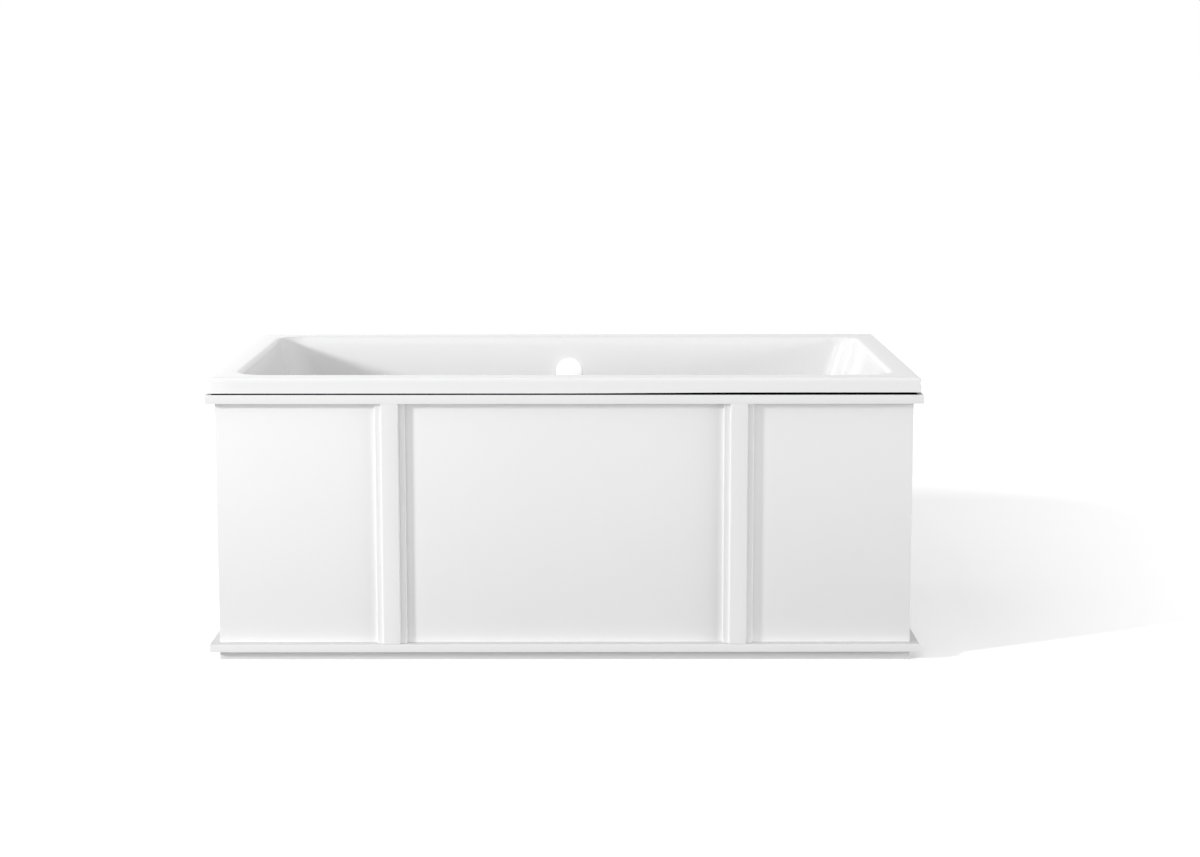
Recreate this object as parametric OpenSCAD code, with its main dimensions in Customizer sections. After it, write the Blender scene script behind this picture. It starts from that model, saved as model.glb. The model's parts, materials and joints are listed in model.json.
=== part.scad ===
// Cast iron bath in a freestanding painted panel surround, with a cable-operated pop-up waste.
// Millimetres. X runs along the bath, -Y is the side shown, Z is up, the floor is at Z = 0.

/* [Surround] */
// Length of the cap rail and of the ledge, the longest parts of the bath
surround_l = 1524; // [1400:1:1800]
// Width of the cap rail and of the ledge, front to back
surround_w = 914; // [860:1:1000]
// Thickness of the panels
panel_t = 18; // [12:0.5:19]
// How far the panel faces lie behind the edges of the cap rail and the ledge
panel_setback = 19; // [12:0.5:22]
// Thickness of the cap rail
rail_t = 19; // [14:0.5:22]
// Width of the cap rail boards
rail_w = 57; // [54:0.5:60]
// Thickness of the ledge
ledge_t = 17.5; // [14:0.5:24]
// Width of the ledge boards
ledge_w = 65; // [63:0.5:75]
// Height of the plinth boards, which stand on the floor right under the panels
plinth_h = 20; // [18:0.5:36]
// Thickness of the plinth boards
plinth_t = 18; // [14:0.5:19]

/* [Pilasters] */
// Distance of each pilaster's middle from the middle of the bath
pilaster_x = 371; // [300:1:420]
// Overall width of a pilaster with its steps
pilaster_w = 63.5; // [56:0.5:80]
// Width of a pilaster's raised face
pilaster_face_w = 36.5; // [28:0.5:44]
// How far the pilaster's steps stand out from the panel
pilaster_step = 9.5; // [6:0.5:11]
// Rounding of a pilaster's long edges
pilaster_edge_r = 1.5; // [0.5:0.5:2.5]

/* [Frame] */
// Side of the square corner posts
corner_post = 45; // [38:1:48]
// Width of the posts behind the pilasters and at the ends
post_w = 45; // [38:1:60]
// Thickness of the posts behind the pilasters and at the ends
post_t = 25; // [20:0.5:28]
// Radius of a wood screw's shank
screw_r = 2; // [1.5:0.1:2.5]
// Radius of a wood screw's head
screw_head_r = 4; // [3.5:0.1:4.5]
// Height of a wood screw's countersunk head
screw_head_h = 3.5; // [2.5:0.1:4]
// Length of the screws that hold the cap rail and the ledge to the posts
post_screw_l = 55; // [40:1:58]
// Length of the screws that hold the ledge to the plinth
plinth_screw_l = 29; // [24:1:31]
// How far the panel screws bite into the panels
panel_bite = 10; // [6:1:11]
// Spacing of the plinth screws along the front and the back
plinth_screw_pitch = 300; // [240:1:320]
// Spacing of the plinth screws along the ends
plinth_end_pitch = 250; // [150:1:300]
// Distance of the panel screws from the top and the foot of a post
panel_screw_inset = 70; // [65:1:120]

/* [Bath rim] */
// How far the rim stops short of the cap rail at each end
rim_inset_end = 2; // [1.5:0.5:8]
// How far the rim stops short of the cap rail at front and back
rim_inset_side = 1.5; // [1:0.5:6]
// Shadow gap between the cap rail and the rim's lower edge
rim_gap = 3.5; // [2.5:0.5:8]
// Height of the rim's edge
rim_h = 33; // [28:0.5:40]
// How much higher the rim's lower edge is at the right-hand end
rim_lip_rise = 2; // [0.5:0.5:4]
// How far the rim's edge flares out towards its lower edge
rim_flare = 2; // [1:0.5:4]
// Width of the rounding along the rim's top edge
rim_round = 5.5; // [3:0.5:6]
// Height of the rounding along the rim's top edge
rim_round_h = 11; // [6:0.5:14]
// Corner radius of the rim, seen from above
rim_corner_r = 6; // [3:0.5:26]
// Thickness of the rim's edge
skirt_t = 6; // [5:0.5:8]
// Thickness of the rim's deck
deck_t = 7; // [6:0.5:9]
// Width of the flat deck at front and back
deck_side = 52; // [48:0.5:56]
// Width of the flat deck at the ends
deck_end = 48; // [45:0.5:52]
// Radius of the roll from the deck into the basin, at front and back
roll_r = 22; // [18:0.5:24]
// Radius of the tighter roll at the ends
roll_end = 12; // [8:0.5:18]

/* [Basin] */
// Depth from the rim's top to the basin's floor
basin_depth = 498; // [460:1:540]
// Room between the floor and the underside of the basin, for the feet and the waste
under_room = 109; // [101:1:125]
// Thickness of the cast iron
iron_t = 6; // [5:0.5:7]
// Corner radius of the basin's opening on the flat deck
opening_r = 75; // [60:1:150]
// Radius between the basin's walls and its floor
foot_r = 75; // [65:1:80]
// Slope of the end walls from the upright, in degrees
end_slope = 16; // [14:0.5:20]
// Slope of the side walls from the upright, in degrees
side_slope = 5; // [4:0.5:6]

/* [Feet] */
// Distance of each foot from the middle, along the bath
foot_x = 420; // [350:1:440]
// Distance of each foot from the middle, across the bath
foot_y = 195; // [150:1:210]
// Height of the cast bosses under the basin
boss_h = 14; // [12:0.5:18]
// Radius of the cast bosses
boss_r = 22; // [18:0.5:28]
// Radius of the studs between boss and foot
stud_r = 5; // [4:0.5:6]
// How deep a stud reaches into the foot
stud_in_foot = 13; // [10:0.5:16]
// Radius of a foot's top flange
foot_flange_r = 30; // [26:0.5:40]
// Thickness of a foot's top flange
foot_flange_t = 8; // [6:0.5:10]
// Radius of a foot's stem
foot_stem_r = 16; // [14:0.5:22]
// Height of a foot's lower end above the floor
foot_clear = 40; // [36:1:46]
// Radius of a levelling screw
level_r = 6; // [5:0.5:7]
// How far a levelling screw reaches into its foot
level_in_foot = 32; // [20:1:34]
// Radius of a floor pad
pad_r = 26; // [20:0.5:36]
// Height of a floor pad
pad_h = 10; // [8:0.5:13]
// How deep a levelling screw sits in its pad
level_in_pad = 5; // [3:0.5:6]
// Height of the lock nuts and of the screws' hexagons
nut_h = 8; // [6:0.5:9]
// Radius of the lock nuts over their corners
nut_r = 11; // [10:0.5:13]

/* [Rim gasket] */
// How far the foam gasket lies behind the rim's edge at front and back
gasket_setback_side = 9.5; // [9.5:0.5:14]
// How far the foam gasket lies behind the rim's edge at the ends
gasket_setback_end = 13; // [10:0.5:18]
// Width of the foam gasket
gasket_w = 12; // [8:0.5:16]
// How far the gasket's foot, which fills the shadow gap, lies behind the rim's edge
gasket_foot_setback = 4; // [3.5:0.5:8]

/* [Overflow] */
// How far the overflow and the drain lie to the right of the middle
waste_x = 3; // [-20:1:20]
// Depth of the overflow's middle below the rim's top
overflow_drop = 83; // [80:1:90]
// Radius of the overflow hole in the basin wall
overflow_hole_r = 27; // [25:0.5:28]
// Radius of the turning cap
cap_r = 31.5; // [30:0.5:36]
// Thickness of the turning cap
cap_t = 10; // [6:0.5:14]
// Gap between the basin wall and the back of the cap, where the water runs in
cap_gap = 6; // [5:0.5:8]
// Radius of the faceplate behind the cap
plate_r = 29.5; // [29:0.5:30]
// Thickness of the faceplate
plate_t = 2.5; // [2:0.5:3]
// Radius of the overflow body's cup
cup_r = 29; // [28.5:0.5:30]
// Wall thickness of the overflow body
cup_wall = 3; // [2:0.5:3.5]
// Depth of the overflow body's cup behind its flange
cup_d = 22; // [20:0.5:23]
// Radius of the overflow body's flange and gasket
cup_flange_r = 35; // [33:0.5:38]
// Thickness of the overflow body's flange
cup_flange_t = 3; // [2:0.5:4]
// Thickness of the gaskets behind the iron
washer_t = 3; // [2:0.5:3.5]
// Radius of the cap's spindle
spindle_r = 4; // [3:0.5:5]
// Distance of the faceplate's screws from the spindle
plate_screw_x = 22; // [21:0.5:22]
// Radius of the faceplate's screws
plate_screw_r = 2; // [1.5:0.5:2.5]

/* [Drain] */
// Distance of the drain from the middle, towards the back
drain_y = 205; // [190:1:220]
// Radius of the drain hole in the basin floor
drain_hole_r = 26.5; // [26:0.5:28]
// Radius of the drain's flange in the basin
drain_flange_r = 35; // [33:0.5:38]
// Thickness of the drain's flange
drain_flange_t = 3; // [3:0.5:4]
// Outer radius of the drain flange's threaded sleeve
sleeve_r = 25; // [24:0.5:25.5]
// Wall thickness of the sleeve
sleeve_wall = 4; // [3:0.5:5]
// Depth of the sleeve below the basin floor
sleeve_l = 30; // [28:1:31]
// Radius of the plug
plug_r = 26.5; // [25.5:0.5:28]
// Height of the plug
plug_t = 4; // [3:0.5:6]
// Radius of the plug's stem
stem_r = 3; // [2.5:0.5:3.5]
// How far the plug rises when the drain is open
plug_travel = 10; // [6:0.5:11]
// Outer radius of the drain body
body_r = 31; // [30.5:0.5:32]
// Height of the drain body with its flange
body_h = 61; // [60:1:63]
// Outer radius of the waste outlet spigot
outlet_r = 19.05; // [17:0.05:22]
// Wall thickness of the waste outlet spigot
outlet_wall = 2.5; // [2:0.5:4]
// Height of the spigot's lower end above the floor
outlet_clear = 12; // [8:1:20]

/* [Overflow pipe and cable] */
// Outer radius of the overflow pipe
pipe_r = 15; // [13:0.5:15.5]
// Wall thickness of the overflow pipe
pipe_wall = 1.5; // [1:0.5:2.5]
// Radius of the pipe's and the cable's bend
bend_r = 60; // [50:1:70]
// Radius of the lifting cable's sheath
cable_r = 3; // [2.5:0.5:3.5]
// Radius of the pull wire
wire_r = 0.8; // [0.5:0.1:1]
// Distance of the cable from the drain's middle, along the bath
cable_x = 38; // [37:0.5:42]
// Length of the lifting lever, from its shaft to the stem
lever_arm = 18; // [17:0.5:18]
// Length of the crank outside the drain body
crank_arm_l = 14; // [12:0.5:15]
// Radius of the lever's shaft
shaft_r = 3; // [2.5:0.5:3.5]

/* [Fits] */
// Radial clearance of screws, studs, pipes and shafts in their holes
fit = 0.05; // [0.02:0.01:0.1]
// Gap between the plug, the lever and what they rest on
rest_gap = 0.3; // [0.2:0.05:0.4]

/* [Hidden] */

$fn = 64;
blend_fn = 32;
sides = [-1, 1];
corners = [[-1, -1], [1, -1], [-1, 1], [1, 1]];
// Overlap that lets a cut run clean through a face
cut = 1;
// Height of the thin slices that a rounded form is blended from
slice = 0.01;

// Outer edges of the surround, half sizes
hx = surround_l / 2;
hy = surround_w / 2;
// Levels of the bath, from the room under the basin up to the rim
z_under = under_room;
z_boss = z_under - boss_h;
z_floor = z_under + iron_t;
z_top = z_floor + basin_depth;
z_lip = z_top - rim_h;
// Levels of the surround: the panels take the height left between ledge and cap rail
z_rail_top = z_lip - rim_gap;
z_rail = z_rail_top - rail_t;
z_ledge = plinth_h;
z_panel = z_ledge + ledge_t;
panel_h = z_rail - z_panel;

// Faces of the panels and of the frame behind them
panel_x = hx - panel_setback;
panel_y = hy - panel_setback;
frame_x = panel_x - panel_t;
frame_y = panel_y - panel_t;
// Lines of the vertical screws in the posts, a little inside the cap rail's inner edge
post_screw_edge = 9;
post_screw_x = hx - rail_w + post_screw_edge;
post_screw_y = hy - rail_w + post_screw_edge;
corner_screw_x = frame_x - corner_post / 2;
post_screw_points = concat(
    [for (c = corners) [c.x * corner_screw_x, c.y * post_screw_y]],
    [for (c = corners) [c.x * pilaster_x, c.y * post_screw_y]],
    [for (s = sides) [s * post_screw_x, 0]]
);
// Places of the screws between ledge and plinth, in the middle of the plinth boards
plinth_screw_points = concat(
    [for (s = sides, i = [-2:2]) [i * plinth_screw_pitch, s * (panel_y - plinth_t / 2)]],
    [for (s = sides, i = [-1:1]) [s * (panel_x - plinth_t / 2), i * plinth_end_pitch]]
);
// Heights of the panel screws: those into front and back, and those into the ends
panel_screw_z = [z_panel + panel_screw_inset, z_rail - panel_screw_inset];
end_screw_shift = 20;
end_screw_z = [panel_screw_z[0] + end_screw_shift, panel_screw_z[1] - end_screw_shift];

// Rim and basin, half sizes
rim_x = hx - rim_inset_end;
rim_y = hy - rim_inset_side;
open_x = rim_x - deck_end;
open_y = rim_y - deck_side;
z_wall = z_top - roll_r;
// How far the tighter roll and the end wall under it reach in from the opening, at a depth
function end_reach(depth) = depth < roll_end
    ? sqrt(depth * (2 * roll_end - depth))
    : roll_end + (depth - roll_end) * tan(end_slope);
wall_x = open_x - end_reach(roll_r);
wall_y = open_y - roll_r;
wall_corner_r = opening_r - roll_r;
wall_h = z_wall - z_floor;
// Middle of the ball that rounds the basin's foot, so that the wall is tangent to it
function foot_centre(top, slope) = top - (foot_r + sin(slope) * (wall_h - foot_r)) / cos(slope);
foot_cx = foot_centre(wall_x, end_slope);
foot_cy = foot_centre(wall_y, side_slope);
iron_x = iron_t / cos(end_slope);
iron_y = iron_t / cos(side_slope);

// Overflow: the place on the basin's back wall
z_overflow = z_top - overflow_drop;
overflow_y = wall_y - (z_wall - z_overflow) * tan(side_slope);
// Depths along the overflow's axis, counted from the wall's inner face
gasket_w0 = -iron_t - washer_t;
cup_back = gasket_w0 - cup_flange_t - cup_d;
cup_floor = cup_back + cup_wall;
bearing_l = 5;
// Wall round the spindle's bearings, and end play of the spindle and its cam
bearing_wall = 3;
end_play = 1;
cam_flange = 5;
cam_t = 5;
cam_pin_x = 6.5;
cam_pin_r = 1.5;
cam_pin_l = 3;
// Faceplate: its arms, and the posts and heads of its screws
plate_ring = 2;
plate_arm_w = 4;
post_wall = 2.5;
plate_screw_end = 2;
plate_head_grow = 1.5;
plate_head_h = 1.8;
// Cap: its bevel and the hub behind it
cap_bevel = 1.5;
cap_hub_wall = 4;
// Socket of the overflow pipe under the cup, and how far the pipe stops short of its top
socket_wall = 3;
socket_r = pipe_r + socket_wall;
socket_l = 28;
pipe_stop = 8;
way_through = 4;
bore_step = 2;
pipe_y = overflow_y + iron_t + washer_t + cup_flange_t + cup_d / 2;
socket_top = z_overflow - cup_r + cup_wall;
socket_bottom = socket_top - socket_l;
pipe_top = socket_top - pipe_stop;
nut_len = 12;
slip_nut_r = 19.5;
slip_washer_t = 2;
slip_washer_inset = 0.5;

// Drain: levels under the basin
z_body_top = z_under - washer_t;
z_body = z_body_top - body_h;
body_flange_t = 6;
body_flange_r = drain_flange_r;
chamber_r = sleeve_r + fit;
chamber_floor_t = 5;
flange_gasket_t = 1;
z_flange = z_floor + flange_gasket_t;
seat_d = 2;
z_seat = z_flange + drain_flange_t - seat_d;
recess_gap = 1;
// How far the gaskets stay inside the flanges that squeeze them
gasket_inset = 1;
seal_t = 1.3;
seal_inset = 1.5;
seal_lap = 2;
z_plug = z_seat + rest_gap + seal_t;
plug_slope = 5;
hub_r = 6;
spider_t = 6;
spider_arm_w = 3;
// Lever: its shaft lies in front of the stem, and its nose lifts the stem
lever_angle = asin(plug_travel / 2 / lever_arm);
shaft_y = drain_y - lever_arm;
shaft_rise = 18;
z_shaft = z_body + shaft_rise;
nose_r = 3;
z_stem = z_shaft - plug_travel / 2 + nose_r + rest_gap;
lever_w = 10;
lever_hub_r = 6;
lever_t = 5;
crank_t = 4;
crank_gap = 1.5;
crank_x = body_r + crank_gap;
crank_r = 5;
crank_hub_r = 6;
// Blind end of the shaft's bore, and the gland round the shaft in the body's wall
shaft_end = 23.5;
gland_wall = 3;
gland_root = 5;
gland_out = 0.5;
nipple_r = 2;
nipple_out = 0.5;
nipple_cap = 0.7;
slot_clear = 0.2;
slot_extra = 0.5;
z_wire = z_shaft - crank_arm_l + slot_clear;
nipple_shift = (z_shaft - z_wire) * tan(lever_angle);
// Bracket that holds the cable's end beside the drain body
bracket_back = 17;
bracket_y = drain_y + bracket_back;
bracket_t = 6;
bracket_half = 7;
bracket_root = 3;
wire_bore_l = 28;
wire_end_l = 18;
// Side port of the drain body, where the overflow pipe comes in
port_rise = 27;
port_l = 26;
port_ledge = 2;
z_port = z_body + port_rise;
port_end = drain_y + body_r + port_l;
port_stop = drain_y + body_r + port_ledge;
pipe_bend_y = pipe_y - bend_r;
// Gland of the cable on the overflow body, and the web that carries it
cable_boss_r = 6;
cable_boss_drop = 6;
cable_boss_l = 28;
cable_in_boss = 14;
cable_boss_top = z_overflow - cable_boss_drop;
cable_boss_bottom = cable_boss_top - cable_boss_l;
cable_top = cable_boss_bottom + cable_in_boss;
web_root = 5;
web_t = 8;
web_h = 12;
// Colours
iron_white = [0.95, 0.95, 0.94];
paint_white = [0.93, 0.93, 0.92];
timber = [0.80, 0.66, 0.46];
zinc = [0.72, 0.73, 0.74];
black_rubber = [0.08, 0.08, 0.08];
chrome = [0.82, 0.83, 0.85];
grey_plastic = [0.45, 0.46, 0.48];

// Four thin round posts: inside a hull they make one rounded slice
module slice_at(half_x, half_y, r, z) {
    for (c = corners)
        translate([c.x * (half_x - r), c.y * (half_y - r), z])
            cylinder(r = r, h = slice, $fn = blend_fn);
}

// Outside of the rim: flared edge, rounded top edge
module rim_outside() {
    hull() {
        slice_at(rim_x, rim_y, rim_corner_r, z_lip);
        for (a = [0:22.5:90]) {
            inset = rim_flare + rim_round * (1 - cos(a));
            slice_at(rim_x - inset, rim_y - inset, rim_corner_r,
                z_top - rim_round_h * (1 - sin(a)) - (a == 90 ? slice : 0));
        }
    }
}

// Lower half of a ball, with an edge ring at each angle where a wall leaves it
module foot_ball(r) {
    ring_angles = concat([for (a = [-90:10:-30]) a], [-end_slope, -side_slope, 0]);
    rotate_extrude($fn = 48)
        polygon(concat([[0, 0]], [for (a = ring_angles) [r * cos(a), r * sin(a)]]));
}

// Basin without the roll at its top, grown by the iron's thickness for its outside
module basin(grow_x, grow_y, grow) {
    hull() {
        slice_at(wall_x + grow_x, wall_y + grow_y, wall_corner_r + grow, z_wall);
        for (c = corners)
            translate([c.x * foot_cx, c.y * foot_cy, z_floor + foot_r])
                foot_ball(foot_r + grow);
    }
}

// One conical step of the roll, between two angles
module roll_step(a, b) {
    hull() {
        for (t = [a, b]) {
            out = roll_r * (1 - cos(t));
            depth = roll_r * (1 - sin(t));
            slice_at(open_x - end_reach(depth), wall_y + out, wall_corner_r + out, z_top - depth);
        }
    }
}

module bath_shell() {
    hollow = rim_flare + skirt_t;
    color(iron_white)
    difference() {
        union() {
            difference() {
                rim_outside();
                translate([-rim_x + hollow, -rim_y + hollow, z_lip - cut])
                    cube([2 * (rim_x - hollow), 2 * (rim_y - hollow), rim_h - deck_t + cut]);
            }
            basin(iron_x, iron_y, iron_t);
            // Iron round the roll, from the wall out to the deck
            hull() {
                slice_at(wall_x + iron_x, wall_y + iron_y, wall_corner_r + iron_t, z_wall - iron_t);
                slice_at(open_x + iron_t, open_y + iron_t, opening_r + iron_t, z_top - deck_t);
            }
            for (c = corners)
                translate([c.x * foot_x, c.y * foot_y, z_boss])
                    cylinder(r = boss_r, h = boss_h + iron_t / 2);
        }
        basin(0, 0, 0);
        for (a = [0, 30, 60])
            roll_step(a, a + 30);
        // The rim's lower edge rises towards the right
        translate([0, rim_y + cut, z_lip])
            rotate([90, 0, 0])
                linear_extrude(2 * (rim_y + cut))
                    polygon([[0, 0], [rim_x + cut, 0], [rim_x + cut, rim_lip_rise]]);
        for (c = corners)
            translate([c.x * foot_x, c.y * foot_y, z_boss - cut])
                cylinder(r = stud_r + fit, h = boss_h + cut);
        translate([waste_x, drain_y, z_under - cut])
            cylinder(r = drain_hole_r, h = iron_t + 2 * cut);
        at_overflow(-iron_t - cut)
            cylinder(r = overflow_hole_r, h = iron_t + 2 * cut);
    }
}

module bath_feet() {
    color("dimgray")
    for (c = corners)
        translate([c.x * foot_x, c.y * foot_y, 0])
            difference() {
                union() {
                    translate([0, 0, foot_clear])
                        cylinder(r = foot_stem_r, h = z_boss - foot_clear);
                    translate([0, 0, z_boss - foot_flange_t])
                        cylinder(r = foot_flange_r, h = foot_flange_t);
                }
                translate([0, 0, z_boss - stud_in_foot])
                    cylinder(r = stud_r + fit, h = stud_in_foot + cut);
                translate([0, 0, foot_clear - cut])
                    cylinder(r = level_r + fit, h = level_in_foot + cut);
            }
}

module foot_studs() {
    color(zinc)
    for (c = corners)
        translate([c.x * foot_x, c.y * foot_y, z_boss - stud_in_foot])
            cylinder(r = stud_r, h = stud_in_foot + boss_h);
}

module levelling_screws() {
    z0 = pad_h - level_in_pad;
    color(zinc)
    for (c = corners)
        translate([c.x * foot_x, c.y * foot_y, 0]) {
            translate([0, 0, z0])
                cylinder(r = level_r, h = foot_clear + level_in_foot - z0);
            translate([0, 0, pad_h])
                cylinder(r = nut_r, h = nut_h, $fn = 6);
        }
}

module lock_nuts() {
    color(zinc)
    for (c = corners)
        translate([c.x * foot_x, c.y * foot_y, foot_clear - nut_h])
            difference() {
                cylinder(r = nut_r, h = nut_h, $fn = 6);
                translate([0, 0, -cut])
                    cylinder(r = level_r + fit, h = nut_h + 2 * cut);
            }
}

module floor_pads() {
    color(black_rubber)
    for (c = corners)
        translate([c.x * foot_x, c.y * foot_y, 0])
            difference() {
                cylinder(r = pad_r, h = pad_h);
                translate([0, 0, pad_h - level_in_pad])
                    cylinder(r = level_r + fit, h = level_in_pad + cut);
            }
}

// Foam strips squeezed between the cap rail and the underside of the deck, those at front and
// back with a foot under the rim's edge
module rim_gasket() {
    gx = rim_x - gasket_setback_end;
    gy = rim_y - gasket_setback_side;
    gh = z_top - deck_t - z_rail_top;
    foot_w = gasket_setback_side - gasket_foot_setback + cut;
    color(black_rubber)
    for (s = sides) {
        translate([-gx, s > 0 ? gy - gasket_w : -gy, z_rail_top])
            cube([2 * gx, gasket_w, gh]);
        translate([-gx, s > 0 ? gy - cut : -gy - foot_w + cut, z_rail_top])
            cube([2 * gx, foot_w, rim_gap]);
        translate([s > 0 ? gx - gasket_w : -gx, -gy + gasket_w, z_rail_top])
            cube([gasket_w, 2 * (gy - gasket_w), gh]);
    }
}

// Mitred board along the front, its outer edge at half sizes bx and by
module mitred_side(bx, by, w, t) {
    linear_extrude(t)
        polygon([[-bx, -by], [bx, -by], [bx - w, w - by], [w - bx, w - by]]);
}

// Mitred board across the right-hand end
module mitred_end(bx, by, w, t) {
    linear_extrude(t)
        polygon([[bx, -by], [bx, by], [bx - w, by - w], [bx - w, w - by]]);
}

// Countersunk wood screw, head up, its top face at the origin
module wood_screw(length, grow) {
    translate([0, 0, -length])
        cylinder(r = screw_r + grow, h = length);
    translate([0, 0, -screw_head_h])
        cylinder(r1 = screw_r + grow, r2 = screw_head_r + grow, h = screw_head_h);
    if (grow > 0)
        cylinder(r = screw_head_r + grow, h = cut);
}

module cap_rail_screws_at(grow) {
    for (p = post_screw_points)
        translate([p.x, p.y, z_rail_top])
            wood_screw(post_screw_l, grow);
}

module ledge_screws_at(grow) {
    for (p = post_screw_points)
        translate([p.x, p.y, z_ledge])
            rotate([180, 0, 0])
                wood_screw(post_screw_l, grow);
}

module plinth_screws_at(grow) {
    for (p = plinth_screw_points)
        translate([p.x, p.y, z_panel])
            wood_screw(plinth_screw_l, grow);
}

// Screws from inside the frame through the posts into the panels
module panel_screws_at(grow) {
    for (c = corners, z = panel_screw_z)
        translate([c.x * corner_screw_x, c.y * (frame_y - corner_post), z])
            rotate([c.y * 90, 0, 0])
                wood_screw(corner_post + panel_bite, grow);
    for (c = corners, z = panel_screw_z)
        translate([c.x * pilaster_x, c.y * (frame_y - post_t), z])
            rotate([c.y * 90, 0, 0])
                wood_screw(post_t + panel_bite, grow);
    for (c = corners, z = end_screw_z)
        translate([c.x * (frame_x - corner_post), c.y * (frame_y - corner_post / 2), z])
            rotate([0, -c.x * 90, 0])
                wood_screw(corner_post + panel_bite, grow);
    for (s = sides, z = end_screw_z)
        translate([s * (frame_x - post_t), 0, z])
            rotate([0, -s * 90, 0])
                wood_screw(post_t + panel_bite, grow);
}

module cap_rail_board(end) {
    color(paint_white)
    difference() {
        translate([0, 0, z_rail]) {
            if (end)
                mitred_end(hx, hy, rail_w, rail_t);
            else
                mitred_side(hx, hy, rail_w, rail_t);
        }
        cap_rail_screws_at(fit);
    }
}

module cap_rail_front() { cap_rail_board(false); }
module cap_rail_back() { mirror([0, 1, 0]) cap_rail_board(false); }
module cap_rail_right() { cap_rail_board(true); }
module cap_rail_left() { mirror([1, 0, 0]) cap_rail_board(true); }

module ledge_board(end) {
    color(paint_white)
    difference() {
        translate([0, 0, z_ledge]) {
            if (end)
                mitred_end(hx, hy, ledge_w, ledge_t);
            else
                mitred_side(hx, hy, ledge_w, ledge_t);
        }
        ledge_screws_at(fit);
        plinth_screws_at(fit);
    }
}

module ledge_front() { ledge_board(false); }
module ledge_back() { mirror([0, 1, 0]) ledge_board(false); }
module ledge_right() { ledge_board(true); }
module ledge_left() { mirror([1, 0, 0]) ledge_board(true); }

module plinth_side() {
    color("gray")
    difference() {
        translate([-panel_x, -panel_y, 0])
            cube([2 * panel_x, plinth_t, plinth_h]);
        plinth_screws_at(fit);
    }
}

module plinth_end() {
    color("gray")
    difference() {
        translate([panel_x - plinth_t, -panel_y + plinth_t, 0])
            cube([plinth_t, 2 * (panel_y - plinth_t), plinth_h]);
        plinth_screws_at(fit);
    }
}

module plinth_front() { plinth_side(); }
module plinth_back() { mirror([0, 1, 0]) plinth_side(); }
module plinth_right() { plinth_end(); }
module plinth_left() { mirror([1, 0, 0]) plinth_end(); }

module side_panel() {
    color(paint_white)
    difference() {
        translate([-panel_x, -panel_y, z_panel])
            cube([2 * panel_x, panel_t, panel_h]);
        panel_screws_at(fit);
    }
}

module end_panel() {
    color(paint_white)
    difference() {
        translate([frame_x, -frame_y, z_panel])
            cube([panel_t, 2 * frame_y, panel_h]);
        panel_screws_at(fit);
    }
}

module front_panel() { side_panel(); }
module back_panel() { mirror([0, 1, 0]) side_panel(); }
module right_panel() { end_panel(); }
module left_panel() { mirror([1, 0, 0]) end_panel(); }

// Outline of a strip on the panel face, its two outer long edges rounded
module strip_outline(w, d) {
    r = pilaster_edge_r;
    translate([-w / 2, r - d])
        square([w, d - r]);
    translate([r - w / 2, -d])
        square([w - 2 * r, d]);
    for (s = sides)
        translate([s * (w / 2 - r), r - d])
            circle(r = r, $fn = 24);
}

module pilaster() {
    color(paint_white)
    translate([pilaster_x, -panel_y, z_panel])
        linear_extrude(panel_h) {
            strip_outline(pilaster_w, pilaster_step);
            strip_outline(pilaster_face_w, panel_setback);
        }
}

module pilaster_front_right() { pilaster(); }
module pilaster_front_left() { mirror([1, 0, 0]) pilaster(); }
module pilaster_back_right() { mirror([0, 1, 0]) pilaster(); }
module pilaster_back_left() { mirror([1, 0, 0]) mirror([0, 1, 0]) pilaster(); }

module corner_posts() {
    color(timber)
    difference() {
        for (c = corners)
            translate([c.x * (frame_x - corner_post / 2), c.y * (frame_y - corner_post / 2),
                z_panel + panel_h / 2])
                cube([corner_post, corner_post, panel_h], center = true);
        post_screw_holes();
    }
}

module side_posts() {
    color(timber)
    difference() {
        for (c = corners)
            translate([c.x * pilaster_x, c.y * (frame_y - post_t / 2), z_panel + panel_h / 2])
                cube([post_w, post_t, panel_h], center = true);
        post_screw_holes();
    }
}

module end_posts() {
    color(timber)
    difference() {
        for (s = sides)
            translate([s * (frame_x - post_t / 2), 0, z_panel + panel_h / 2])
                cube([post_t, post_w, panel_h], center = true);
        post_screw_holes();
    }
}

module post_screw_holes() {
    cap_rail_screws_at(fit);
    ledge_screws_at(fit);
    panel_screws_at(fit);
}

module cap_rail_screws() { color(zinc) cap_rail_screws_at(0); }
module ledge_screws() { color(zinc) ledge_screws_at(0); }
module plinth_screws() { color(zinc) plinth_screws_at(0); }
module panel_screws() { color(zinc) panel_screws_at(0); }

// Flat ring or tube standing on the XY plane
module tube(r_out, r_in, h) {
    difference() {
        cylinder(r = r_out, h = h);
        translate([0, 0, -cut])
            cylinder(r = r_in, h = h + 2 * cut);
    }
}

// Cylinder along +Y, from y0 to y1
module along_y(r, y0, y1) {
    translate([0, y0, 0])
        rotate([-90, 0, 0])
            cylinder(r = r, h = y1 - y0);
}

// Cylinder along +X, from x0 to x1
module along_x(r, x0, x1) {
    translate([x0, 0, 0])
        rotate([0, 90, 0])
            cylinder(r = r, h = x1 - x0);
}

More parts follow.
